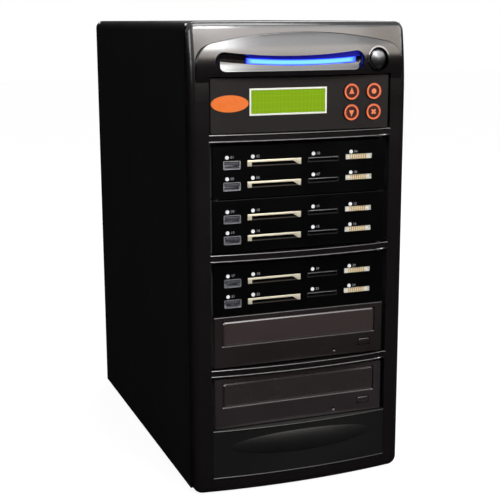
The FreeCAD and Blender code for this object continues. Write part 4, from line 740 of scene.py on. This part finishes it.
carve(halo, curve_tool(light_head, (light_axis[0], light_axis[2])), "INTERSECT")
carve(halo, curve_tool(SLOT_CURVE, (SLOT_MIDDLE, SLOT_CROWN + SLOT_CURVE)), "DIFFERENCE")
bpy.ops.object.mode_set(mode="EDIT")
close_piece(halo, painted_glow)
carry(halo, "tower")


# Power button: a black gloss cap with a turned silver middle, in a chromed ring, pressed against a
# switch on a board behind the crest. The turning shows as fine rings around the middle, drawn coarse
# enough to show.
RING_CHROME = "#5e5f63"
BUTTON_BLACK = "#0b0b0c"
BUTTON_SILVER = "#545456"
SILVER_RADIUS = 5.9 * MM
SILVER_EDGE = 0.3 * MM
TURNING_PITCH = 1.1 * MM
TURNING_RELIEF = 0.03 * MM
BLACK_ROUGHNESS = 0.16
SILVER_ROUGHNESS = 0.32

ring_chrome = grained("bright_chrome", RING_CHROME, roughness=0.14, grain=0.6 * MM, relief=0.004 * MM,
                      cloud=6 * MM, tone=0.03, metallic=1)
dress(ring_chrome, "power_ring")
button_low, button_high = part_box("power_button")
turned_cap, cap_tree, cap_shader, cap_place = begin_material("turned_silver_cap")
from_middle = add_node(cap_tree, "ShaderNodeVectorMath", {
    0: cap_place,
    1: (button_low + button_high) / 2,
}, operation="SUBTRACT")
on_face = add_node(cap_tree, "ShaderNodeVectorMath", {
    0: from_middle.outputs[0],
    1: SEEN_FROM_FRONT,
}, operation="MULTIPLY")
cap_reach = add_node(cap_tree, "ShaderNodeVectorMath", {0: on_face.outputs[0]}, operation="LENGTH")
silver_share = add_node(cap_tree, "ShaderNodeMapRange", {
    "Value": cap_reach.outputs["Value"],
    "From Min": SILVER_RADIUS,
    "From Max": SILVER_RADIUS + SILVER_EDGE,
    "To Min": 1,
    "To Max": 0,
})
cap_tint = add_node(cap_tree, "ShaderNodeMix", {
    "Factor": silver_share.outputs[0],
    "A": linear(BUTTON_BLACK),
    "B": linear(BUTTON_SILVER),
}, data_type="RGBA")
ring_phase = add_node(cap_tree, "ShaderNodeMath", {
    0: cap_reach.outputs["Value"],
    1: 2 * math.pi / TURNING_PITCH,
}, operation="MULTIPLY")
ring_wave = add_node(cap_tree, "ShaderNodeMath", {0: ring_phase.outputs[0]}, operation="SINE")
turning = add_node(cap_tree, "ShaderNodeBump", {
    "Height": ring_wave.outputs[0],
    "Strength": 1,
    "Distance": TURNING_RELIEF,
})
cap_gloss = add_node(cap_tree, "ShaderNodeMapRange", {
    "Value": silver_share.outputs[0],
    "To Min": BLACK_ROUGHNESS,
    "To Max": SILVER_ROUGHNESS,
})
feed(cap_tree, cap_shader, {
    "Base Color": cap_tint.outputs["Result"],
    "Metallic": silver_share.outputs[0],
    "Roughness": cap_gloss.outputs[0],
    "Normal": turning.outputs[0],
    "Specular IOR Level": 0.2,
})
dress(turned_cap, "power_button")


# Controller: a matt dark grey face with a lit character display in a white surround, the display's moulded
# module behind it, and a blank oval badge. The display's cells show as faint squares in the green.
CONTROL_GREY = "#151011"
DISPLAY_GREEN = "#86ac1a"
DISPLAY_CELL = "#7fa418"
DISPLAY_GLOW = 0.13
CELL_WIDTH = 3.2 * MM
CELL_HEIGHT = 5.2 * MM
CELL_GAP = 0.35 * MM
BORDER_WHITE = "#f6f6ea"
BORDER_WIDTH = 1.35 * MM
BORDER_RISE = 0.25 * MM
BORDER_EDGE = 0.06 * MM
BADGE_ORANGE = "#f57c34"
MOULDED_BLACK = "#1c1c1d"
FRONT_SHARE = 0.9

control_grey = grained("matt_control_grey", CONTROL_GREY, roughness=0.50, grain=0.6 * MM,
                       relief=0.012 * MM, cloud=30 * MM, specular=0.12)
moulded_black = grained("moulded_black", MOULDED_BLACK, roughness=0.5, grain=0.6 * MM, relief=0.010 * MM,
                        cloud=15 * MM)
dress(control_grey, "controller_panel")
dress(moulded_black, "lcd_module")
lit_display, display_tree, display_shader, display_place = begin_material("lit_character_display")
cell_place = add_node(display_tree, "ShaderNodeMapping", {
    "Vector": display_place,
    "Rotation": (-math.pi / 2, 0, 0),
})
cells = add_node(display_tree, "ShaderNodeTexBrick", {
    "Vector": cell_place.outputs[0],
    "Color1": linear(DISPLAY_CELL),
    "Color2": linear(DISPLAY_CELL),
    "Mortar": linear(DISPLAY_GREEN),
    "Scale": 1,
    "Mortar Size": CELL_GAP,
    "Brick Width": CELL_WIDTH,
    "Row Height": CELL_HEIGHT,
}, offset=0)
feed(display_tree, display_shader, {
    "Base Color": cells.outputs["Color"],
    "Emission Color": cells.outputs["Color"],
    "Emission Strength": DISPLAY_GLOW,
    "Roughness": 0.18,
    "Specular IOR Level": 0.15,
})
dress(lit_display, "lcd_window")
badge_print = grained("orange_badge", BADGE_ORANGE, roughness=0.30, grain=0.5 * MM, relief=0.002 * MM,
                      cloud=6 * MM, tone=0.04, specular=0.2)
dress(badge_print, "badge_oval")

glass_low, glass_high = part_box("lcd_window")
border_white = grained("white_printed_border", BORDER_WHITE, roughness=0.35, grain=0.5 * MM,
                       relief=0.002 * MM, cloud=10 * MM, tone=0.03, specular=0.2)
deselect()
bpy.ops.mesh.primitive_plane_add(
    size=1,
    location=((glass_low.x + glass_high.x) / 2, glass_low.y, (glass_low.z + glass_high.z) / 2),
    rotation=(math.pi / 2, 0, 0),
)
bpy.context.object.scale = (glass_high.x - glass_low.x, glass_high.z - glass_low.z, 1)
border = open_piece("display_border")
bpy.ops.mesh.inset(thickness=BORDER_WIDTH, depth=0)
bpy.ops.mesh.delete(type="FACE")
bpy.ops.mesh.select_all(action="SELECT")
extrude((0, -BORDER_RISE, 0))
pick_faces(lambda middle, normal: middle.y < glass_low.y - FRONT_SHARE * BORDER_RISE)
bpy.ops.mesh.bevel(offset=BORDER_EDGE, segments=2, affect="EDGES")
close_piece(border, border_white)
carry(border, "tower")


# Keys: four round caps moulded in dark red, each with a raised orange ring and a raised sign. They
# slide in the controller's face on their own springs. The orange print is soft and a little glossy.
KEY_RED = "#3a0d06"
KEY_ORANGE = "#f27648"
SIGN_ORANGE = "#f08a58"
KEY_FRONT = -152.7 * MM
KEY_MIDDLES = {
    "key_up": (42.4 * MM, 323.8 * MM),
    "key_enter": (61.9 * MM, 323.8 * MM),
    "key_down": (42.4 * MM, 307.5 * MM),
    "key_cancel": (61.9 * MM, 307.5 * MM),
}
RING_RADIUS = 6.3 * MM
RING_BAND = 1.5 * MM
SIGN_SINK = 0.05 * MM
SIGN_RISE = 0.25 * MM
SIGN_EDGE = 0.06 * MM
ARROW_RADIUS = 2.5 * MM
ARROW_STRETCH = 1.35
DOT_RADIUS = 2.1 * MM
CROSS_SIZE = 4.6 * MM
CROSS_CELLS = 3

key_red = grained("dark_red_cap", KEY_RED, roughness=0.40, grain=0.5 * MM, relief=0.006 * MM,
                  cloud=5 * MM, tone=0.05, specular=0.2)
ring_orange = grained("orange_key_ring", KEY_ORANGE, roughness=0.35, grain=0.4 * MM, relief=0.003 * MM,
                      cloud=4 * MM, tone=0.04, specular=0.2)
sign_orange = grained("orange_key_sign", SIGN_ORANGE, roughness=0.35, grain=0.4 * MM, relief=0.003 * MM,
                      cloud=4 * MM, tone=0.04, specular=0.2)
dress(key_red, *KEY_MIDDLES)


def raise_sign(piece, material):
    """Give a flat outline on a key its height and a rounded front edge."""
    bpy.ops.mesh.select_all(action="SELECT")
    extrude((0, -SIGN_RISE, 0))
    pick_faces(lambda middle, normal: middle.y < KEY_FRONT + SIGN_SINK - FRONT_SHARE * SIGN_RISE)
    bpy.ops.mesh.bevel(offset=SIGN_EDGE, segments=2, affect="EDGES")
    close_piece(piece, material)


def on_key(key):
    """The middle of a key's face, just under its surface."""
    x, z = KEY_MIDDLES[key]
    return Vector((x, KEY_FRONT + SIGN_SINK, z))


deselect()
bpy.ops.mesh.primitive_circle_add(vertices=48, radius=RING_RADIUS, fill_type="NGON",
                                  location=on_key("key_up"), rotation=(math.pi / 2, 0, 0))
first_ring = open_piece("key_up_ring")
bpy.ops.mesh.inset(thickness=RING_BAND, depth=0)
bpy.ops.mesh.delete(type="FACE")
raise_sign(first_ring, ring_orange)
rings = {"key_up": first_ring}
for key in ("key_enter", "key_down", "key_cancel"):
    rings[key] = copy_piece(first_ring, key + "_ring", on_key(key) - on_key("key_up"))
for key, ring in rings.items():
    carry(ring, key)

for key, turn in (("key_up", math.pi / 2), ("key_down", -math.pi / 2)):
    deselect()
    bpy.ops.mesh.primitive_circle_add(vertices=3, radius=ARROW_RADIUS, fill_type="NGON",
                                      location=on_key(key), rotation=(turn, 0, 0))
    bpy.context.object.scale = (1, ARROW_STRETCH, 1)
    arrow = open_piece(key + "_arrow")
    raise_sign(arrow, sign_orange)
    carry(arrow, key)

deselect()
bpy.ops.mesh.primitive_circle_add(vertices=32, radius=DOT_RADIUS, fill_type="NGON",
                                  location=on_key("key_enter"), rotation=(math.pi / 2, 0, 0))
dot = open_piece("key_enter_dot")
raise_sign(dot, sign_orange)
carry(dot, "key_enter")

deselect()
bpy.ops.mesh.primitive_grid_add(x_subdivisions=CROSS_CELLS, y_subdivisions=CROSS_CELLS, size=CROSS_SIZE,
                                location=on_key("key_cancel"), rotation=(math.pi / 2, math.pi / 4, 0))
bpy.ops.object.mode_set(mode="EDIT")
arm_half = CROSS_SIZE / (2 * CROSS_CELLS)
pick_faces(lambda middle, normal: min(abs(middle.x), abs(middle.y)) > arm_half)
bpy.ops.mesh.delete(type="FACE")
bpy.ops.object.mode_set(mode="OBJECT")
cross = open_piece("key_cancel_cross")
raise_sign(cross, sign_orange)
carry(cross, "key_cancel")


# Boards behind the faces: glass-fibre laminate under green solder mask, screwed to the frame and the
# trays. The mask is glossy, and the weave under it shows as a faint mottle.
MASK_GREEN = "#1d5a34"

solder_mask = grained("green_solder_mask", MASK_GREEN, roughness=0.35, grain=0.8 * MM, relief=0.008 * MM,
                      cloud=10 * MM, tone=0.15)
dress(solder_mask, "front_board", "controller_board", "unit_boards")


# Card readers: smooth black faces with folded nickel port shells, card sockets and clear lamps, each
# lamp with a printed number. Shade is painted in the card sockets, which darken just behind their mouths.
# A highlight is painted in the port shells, which are painted brighter inside than at the mouth.
READER_BLACK = "#030304"
PORT_NICKEL = "#b0b0b8"
# The port shells are painted brighter inside, as a highlight, and the card sockets dark inside, as shade.
PORT_PAINTED_HIGHLIGHT = "#d0d2d8"
CARD_BROWN = "#3a342e"
CARD_PAINTED_SHADE = "#0a0908"
GUIDE_BLACK = "#141416"
LAMP_WHITE = "#f4f4f6"
NUMBER_GREY = "#9a9a9c"
READER_FRONT = -151.0 * MM
PORT_FRONT = -151.4 * MM
SOCKET_FRONT = -150.4 * MM
MOUTH_EDGE = 0.1 * MM
MOUTH_DEPTH = 0.7 * MM
SCUFF_SIZE = 0.8 * MM
SCUFF_GLOSS = 0.08
READER_ROWS = (
    (259.3 * MM, 276.0 * MM),
    (216.8 * MM, 233.5 * MM),
    (165.5 * MM, 182.2 * MM),
)
LAMP_COLUMNS = (-62.0 * MM, -40.77 * MM, 10.56 * MM, 43.3 * MM)
NUMBER_GAP = 2.8 * MM
NUMBER_SIZE = 3.0 * MM
NUMBER_RISE = 0.04 * MM

reader_black = grained("smooth_reader_black", READER_BLACK, roughness=0.30, grain=0.8 * MM,
                       relief=0.003 * MM, cloud=25 * MM, uneven=0.03, specular=0.06)
dress(reader_black, "reader_panel_1", "reader_panel_2", "reader_panel_3")


def socket_with_painted_inside(name, mouth, inside, front, roughness, metallic, specular=0.4):
    """A socket's finish at its mouth, running to a colour painted inside it, with fine scuffs in its
    gloss. The inside colour is painted shade in the card sockets and a painted highlight in the port
    shells.
    """
    material, tree, shader, place = begin_material(name)
    axes = add_node(tree, "ShaderNodeSeparateXYZ", {"Vector": place})
    painted_depth_share = add_node(tree, "ShaderNodeMapRange", {
        "Value": axes.outputs["Y"],
        "From Min": front + MOUTH_EDGE,
        "From Max": front + MOUTH_DEPTH,
    })
    tint = add_node(tree, "ShaderNodeMix", {
        "Factor": painted_depth_share.outputs[0],
        "A": linear(mouth),
        "B": linear(inside),
    }, data_type="RGBA")
    scuffs = add_node(tree, "ShaderNodeTexNoise", {"Vector": place, "Scale": 1 / SCUFF_SIZE, "Detail": 3})
    gloss = add_node(tree, "ShaderNodeMapRange", {
        "Value": scuffs.outputs["Fac"],
        "To Min": roughness - SCUFF_GLOSS,
        "To Max": roughness + SCUFF_GLOSS,
    })
    feed(tree, shader, {
        "Base Color": tint.outputs["Result"],
        "Roughness": gloss.outputs[0],
        "Metallic": metallic,
        "Specular IOR Level": specular,
    })
    return material


# Painted highlight inside the port shells, painted shade inside the card sockets.
port_nickel = socket_with_painted_inside("nickel_port_shell", PORT_NICKEL, PORT_PAINTED_HIGHLIGHT, PORT_FRONT, roughness=0.34,
                            metallic=0.8)
card_brown = socket_with_painted_inside("brown_card_socket", CARD_BROWN, CARD_PAINTED_SHADE, SOCKET_FRONT, roughness=0.40,
                           metallic=0)
card_black = socket_with_painted_inside("black_card_guide", GUIDE_BLACK, CARD_PAINTED_SHADE, SOCKET_FRONT, roughness=0.36,
                           metallic=0)
clear_lamp = grained("clear_lamp", LAMP_WHITE, roughness=0.25, grain=0.5 * MM, relief=0.002 * MM,
                     cloud=2 * MM, tone=0.02, specular=0.2)
dress(port_nickel, "usb_ports")
dress(card_brown, "cf_sockets")
dress(card_black, "sd_sockets")
dress(clear_lamp, "status_lamps")

number_print = grained("grey_printed_number", NUMBER_GREY, roughness=0.5, grain=0.3 * MM,
                       relief=0.001 * MM, cloud=3 * MM, tone=0.06, specular=0.2)
number = 0
for reader, rows in enumerate(READER_ROWS, 1):
    numbers = []
    for row in reversed(rows):
        for column in LAMP_COLUMNS:
            number += 1
            deselect()
            bpy.ops.object.text_add(location=(column + NUMBER_GAP, READER_FRONT, row),
                                    rotation=(math.pi / 2, 0, 0))
            label = bpy.context.object
            label.data.body = f"{number:02d}"
            label.data.size = NUMBER_SIZE
            label.data.align_y = "CENTER"
            label.data.resolution_u = 2
            label.data.extrude = NUMBER_RISE
            bpy.ops.object.convert(target="MESH")
            label = open_piece(f"reader_{reader}_numbers")
            close_piece(label, number_print)
            numbers.append(label)
    carry(join_pieces(numbers), "tower")


# Plug tongues in the round-cornered ports: a bar of dark blue-grey plastic that carries the contacts,
# one in each port. It is moulded, with slightly rounded corners.
TONGUE_BLUE = "#34353f"
TONGUE_X = -58.0 * MM
TONGUE_DROP = 5.15 * MM
TONGUE_WIDTH = 11.3 * MM
TONGUE_HEIGHT = 2.1 * MM
TONGUE_FRONT = -150.5 * MM
TONGUE_DEPTH = 10.0 * MM
TONGUE_EDGE = 0.15 * MM

tongue_blue = grained("blue_port_plastic", TONGUE_BLUE, roughness=0.45, grain=0.5 * MM,
                      relief=0.004 * MM, cloud=4 * MM, specular=0.3)
all_rows = [row for rows in READER_ROWS for row in rows]


def fill_rows(piece):
    """Copies of a piece for every other row of sockets, made one with the first."""
    pieces = [piece]
    for row in all_rows[1:]:
        pieces.append(copy_piece(piece, "row_copy", (0, 0, row - all_rows[0])))
    return join_pieces(pieces)


deselect()
bpy.ops.mesh.primitive_cube_add(
    size=1,
    location=(TONGUE_X, TONGUE_FRONT + TONGUE_DEPTH / 2, all_rows[0] - TONGUE_DROP),
)
bpy.context.object.scale = (TONGUE_WIDTH, TONGUE_DEPTH, TONGUE_HEIGHT)
tongue = open_piece("port_tongues")
bpy.ops.mesh.bevel(offset=TONGUE_EDGE, segments=2, affect="EDGES")
close_piece(tongue, tongue_blue)
carry(fill_rows(tongue), "tower")


# Wide card guides: a pale plated lip along the top of each wide socket, with a block at its left end
# and a sloping flare at its right end, pressed from sheet and set on the socket's front.
GUIDE_BEIGE = "#d8d0ba"
GUIDE_X = -22.47 * MM
GUIDE_DROP = 5.3 * MM
GUIDE_WIDTH = 45.2 * MM
GUIDE_HEIGHT = 4.8 * MM
GUIDE_LIP = 1.7 * MM
GUIDE_BLOCK = 3.6 * MM
GUIDE_FLARE = 6.8 * MM
FLARE_SLOPE = 4.6 * MM
GUIDE_RISE = 0.5 * MM
GUIDE_EDGE = 0.12 * MM

plated_guide = grained("pale_plated_guide", GUIDE_BEIGE, roughness=0.38, grain=0.5 * MM,
                       relief=0.006 * MM, cloud=4 * MM, metallic=0.3, specular=0.3)
guide_left = GUIDE_X - GUIDE_WIDTH / 2 + GUIDE_BLOCK
guide_right = GUIDE_X + GUIDE_WIDTH / 2 - GUIDE_FLARE
guide_middle = all_rows[0] - GUIDE_DROP
lip_bottom = guide_middle + GUIDE_HEIGHT / 2 - GUIDE_LIP
deselect()
bpy.ops.mesh.primitive_plane_add(size=1, location=(GUIDE_X, SOCKET_FRONT, guide_middle),
                                 rotation=(math.pi / 2, 0, 0))
bpy.context.object.scale = (GUIDE_WIDTH, GUIDE_HEIGHT, 1)
guide = open_piece("card_guides")
for cut, way in (
    ((guide_left, 0, 0), (1, 0, 0)),
    ((guide_right, 0, 0), (1, 0, 0)),
    ((0, 0, lip_bottom), (0, 0, 1)),
):
    bpy.ops.mesh.select_all(action="SELECT")
    bpy.ops.mesh.bisect(plane_co=cut, plane_no=way)
pick_faces(lambda middle, normal: guide_left < middle.x < guide_right and middle.z < lip_bottom)
bpy.ops.mesh.delete(type="FACE")


def pick_points(test):
    """In edit mode, select the points that pass a test."""
    bpy.ops.mesh.select_mode(type="VERT")
    bpy.ops.mesh.select_all(action="DESELECT")
    mesh = bmesh.from_edit_mesh(bpy.context.edit_object.data)
    for point in mesh.verts:
        point.select_set(test(point.co))
    bmesh.update_edit_mesh(bpy.context.edit_object.data)


pick_points(lambda place: abs(place.x - guide_right) < GUIDE_EDGE and place.z < guide_middle)
bpy.ops.transform.translate(value=(FLARE_SLOPE, 0, 0))
bpy.ops.mesh.select_mode(type="FACE")
bpy.ops.mesh.select_all(action="SELECT")
extrude((0, -GUIDE_RISE, 0))
pick_faces(lambda middle, normal: middle.y < SOCKET_FRONT - FRONT_SHARE * GUIDE_RISE)
bpy.ops.mesh.region_to_loop()
bpy.ops.mesh.bevel(offset=GUIDE_EDGE, segments=2, affect="EDGES")
close_piece(guide, plated_guide)
carry(fill_rows(guide), "tower")


# Narrow card shields: a strip of dull nickel along the top of each narrow socket's mouth, the edge of
# the sheet that covers the socket.
SHIELD_NICKEL = "#77787e"
SHIELD_X = 19.56 * MM
SHIELD_DROP = 3.6 * MM
SHIELD_WIDTH = 25.2 * MM
SHIELD_HEIGHT = 0.55 * MM
SHIELD_BACK = -149.6 * MM
SHIELD_DEPTH = 0.7 * MM
SHIELD_EDGE = 0.1 * MM

dull_nickel = grained("dull_nickel_strip", SHIELD_NICKEL, roughness=0.36, grain=0.4 * MM,
                      relief=0.004 * MM, cloud=4 * MM, tone=0.08, metallic=0.7)
deselect()
bpy.ops.mesh.primitive_plane_add(size=1, location=(SHIELD_X, SHIELD_BACK, all_rows[0] - SHIELD_DROP),
                                 rotation=(math.pi / 2, 0, 0))
bpy.context.object.scale = (SHIELD_WIDTH, SHIELD_HEIGHT, 1)
shield = open_piece("card_shields")
extrude((0, -SHIELD_DEPTH, 0))
bpy.ops.mesh.bevel(offset=SHIELD_EDGE, segments=2, affect="EDGES")
close_piece(shield, dull_nickel)
carry(fill_rows(shield), "tower")


# Stick card sockets: pale moulded ends with a strip of gold-plated contacts between them. The gaps
# between the contacts show as fine dark lines.
STICK_PALE = "#efeee4"
CONTACT_GOLD = "#f0deba"
CONTACT_GAP = "#94703c"
STICK_X = 50.5 * MM
PALE_FROM = 6.8 * MM
PALE_BLEND = 1.2 * MM
CONTACT_PITCH = 1.9 * MM
CONTACT_COUNT = 11
GAP_FROM = 0.55
GAP_FULL = 0.9
STRIP_DROP = 4.0 * MM
STRIP_HEIGHT = 2.3 * MM
STRIP_BACK = -149.0 * MM
STRIP_DEPTH = 0.6 * MM
RIDGE_EDGE = 0.2 * MM
RIDGE_RISE = 0.3 * MM

stick_gold, stick_tree, stick_shader, stick_place = begin_material("gold_contact_strip")
stick_axes = add_node(stick_tree, "ShaderNodeSeparateXYZ", {"Vector": stick_place})
along = add_node(stick_tree, "ShaderNodeMath", {
    0: stick_axes.outputs["X"],
    1: STICK_X,
}, operation="SUBTRACT")
out_from_middle = add_node(stick_tree, "ShaderNodeMath", {0: along.outputs[0]}, operation="ABSOLUTE")
pale_share = add_node(stick_tree, "ShaderNodeMapRange", {
    "Value": out_from_middle.outputs[0],
    "From Min": PALE_FROM,
    "From Max": PALE_FROM + PALE_BLEND,
})
contact_phase = add_node(stick_tree, "ShaderNodeMath", {
    0: along.outputs[0],
    1: 2 * math.pi / CONTACT_PITCH,
}, operation="MULTIPLY")
contact_wave = add_node(stick_tree, "ShaderNodeMath", {0: contact_phase.outputs[0]}, operation="SINE")
gap_share = add_node(stick_tree, "ShaderNodeMapRange", {
    "Value": contact_wave.outputs[0],
    "From Min": GAP_FROM,
    "From Max": GAP_FULL,
})
contact_tint = add_node(stick_tree, "ShaderNodeMix", {
    "Factor": gap_share.outputs[0],
    "A": linear(CONTACT_GOLD),
    "B": linear(CONTACT_GAP),
}, data_type="RGBA")
stick_tint = add_node(stick_tree, "ShaderNodeMix", {
    "Factor": pale_share.outputs[0],
    "A": contact_tint.outputs["Result"],
    "B": linear(STICK_PALE),
}, data_type="RGBA")
feed(stick_tree, stick_shader, {
    "Base Color": stick_tint.outputs["Result"],
    "Roughness": 0.36,
    "Specular IOR Level": 0.3,
})
dress(stick_gold, "ms_sockets")

deselect()
bpy.ops.mesh.primitive_grid_add(x_subdivisions=CONTACT_COUNT, y_subdivisions=1, size=1,
                                location=(STICK_X, STRIP_BACK, all_rows[0] - STRIP_DROP),
                                rotation=(math.pi / 2, 0, 0))
bpy.context.object.scale = (CONTACT_COUNT * CONTACT_PITCH, STRIP_HEIGHT, 1)
strip = open_piece("stick_contacts")
extrude((0, -STRIP_DEPTH, 0))
pick_faces(lambda middle, normal: middle.y < STRIP_BACK - FRONT_SHARE * STRIP_DEPTH)
bpy.ops.mesh.inset(thickness=RIDGE_EDGE, depth=RIDGE_RISE, use_individual=True)
close_piece(strip, stick_gold)
carry(fill_rows(strip), "tower")


# Optical drives: warm dark grey faces and tray doors, injection moulded with a fine spark-eroded grain,
# and black loader parts behind them. The two drives are one plastic, given two shades as painted light
# and shade for how the light falls on each. The grain is drawn coarse enough to show.
# These greys are painted light and shade: the upper face and lower door darker, the upper door and lower
# face paler.
UPPER_FACE_PAINTED_GREY = "#180f11"
LOWER_FACE_PAINTED_GREY = "#241d1f"
UPPER_DOOR_PAINTED_GREY = "#322626"
LOWER_DOOR_PAINTED_GREY = "#272020"
FACE_ROUGHNESS = 0.30
DOOR_ROUGHNESS = 0.28
SPARK_GRAIN = 0.8 * MM
SPARK_RELIEF = 0.004 * MM
SHADE_CLOUD = 40 * MM


def drive_plastic(name, colour, roughness, specular):
    """The drives' even, fine-grained plastic, in a shade painted for the light on one drive."""
    return grained(name, colour, roughness, SPARK_GRAIN, SPARK_RELIEF, SHADE_CLOUD,
                   uneven=0.02, tone=0.04, specular=specular)


# One plastic in lit and shaded copies, painted for the light on each drive.
upper_plastic = drive_plastic("grained_upper_face", UPPER_FACE_PAINTED_GREY, FACE_ROUGHNESS, specular=0.55)
lower_plastic = drive_plastic("grained_lower_face", LOWER_FACE_PAINTED_GREY, FACE_ROUGHNESS, specular=0.6)
upper_door = drive_plastic("grained_upper_door", UPPER_DOOR_PAINTED_GREY, DOOR_ROUGHNESS, specular=0.9)
lower_door = drive_plastic("grained_lower_door", LOWER_DOOR_PAINTED_GREY, DOOR_ROUGHNESS, specular=0.8)
dress(upper_plastic, "drive_1_face", "drive_1_eject_button")
dress(lower_plastic, "drive_2_face", "drive_2_eject_button")
dress(upper_door, "drive_1_tray_door", "drive_1_tray")
dress(lower_door, "drive_2_tray_door", "drive_2_tray")
dress(moulded_black, "drive_1_deck", "drive_2_deck", "drive_1_turntable", "drive_2_turntable",
      "drive_1_pickup", "drive_2_pickup")


# Eject buttons: moulded in the plastic of the drive's face, half a millimetre proud of it. The front
# edge is rounded, so the top of the button catches the light as a fine line.
EJECT_CORNER = 1.6 * MM
EJECT_ROUND = 0.48 * MM

first_low, first_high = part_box("drive_1_eject_button")
second_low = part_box("drive_2_eject_button")[0]
deselect()
bpy.ops.mesh.primitive_cube_add(size=1, location=(first_low + first_high) / 2)
bpy.context.object.scale = first_high - first_low
upper_button = open_piece("drive_1_eject_cap")
pick_edges(lambda one, other: abs(one.y - other.y) > EJECT_CORNER)
bpy.ops.mesh.bevel(offset=EJECT_CORNER, segments=5, affect="EDGES")
pick_faces(lambda middle, normal: normal.y < -FACING)
bpy.ops.mesh.region_to_loop()
bpy.ops.mesh.bevel(offset=EJECT_ROUND, segments=4, affect="EDGES")
close_piece(upper_button, upper_plastic)
lower_button = copy_piece(upper_button, "drive_2_eject_cap", second_low - first_low)
lower_button.data.materials[0] = lower_plastic
for button, drive in ((upper_button, "drive_1"), (lower_button, "drive_2")):
    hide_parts(drive + "_eject_button")
    carry(button, drive + "_eject")


# Back: a moulded mains inlet with plated brass blades and a rocker, snapped into the supply's case, and
# two moulded black fans screwed behind the wire guards.
INLET_BLACK = "#141414"
BLADE_BRASS = "#c9b27a"
FAN_BLACK = "#171718"

inlet_plastic = grained("moulded_inlet", INLET_BLACK, roughness=0.45, grain=0.6 * MM, relief=0.010 * MM,
                        cloud=8 * MM)
plated_blade = grained("plated_blade", BLADE_BRASS, roughness=0.25, grain=0.4 * MM, relief=0.004 * MM,
                       cloud=3 * MM, tone=0.05, metallic=1)
fan_plastic = grained("moulded_fan", FAN_BLACK, roughness=0.45, grain=0.7 * MM, relief=0.010 * MM,
                      cloud=12 * MM)
dress(inlet_plastic, "psu_inlet", "psu_rocker")
dress(plated_blade, "inlet_pins")
dress(fan_plastic, "fan_rotor", "psu_fan_rotor", "fan_frames")
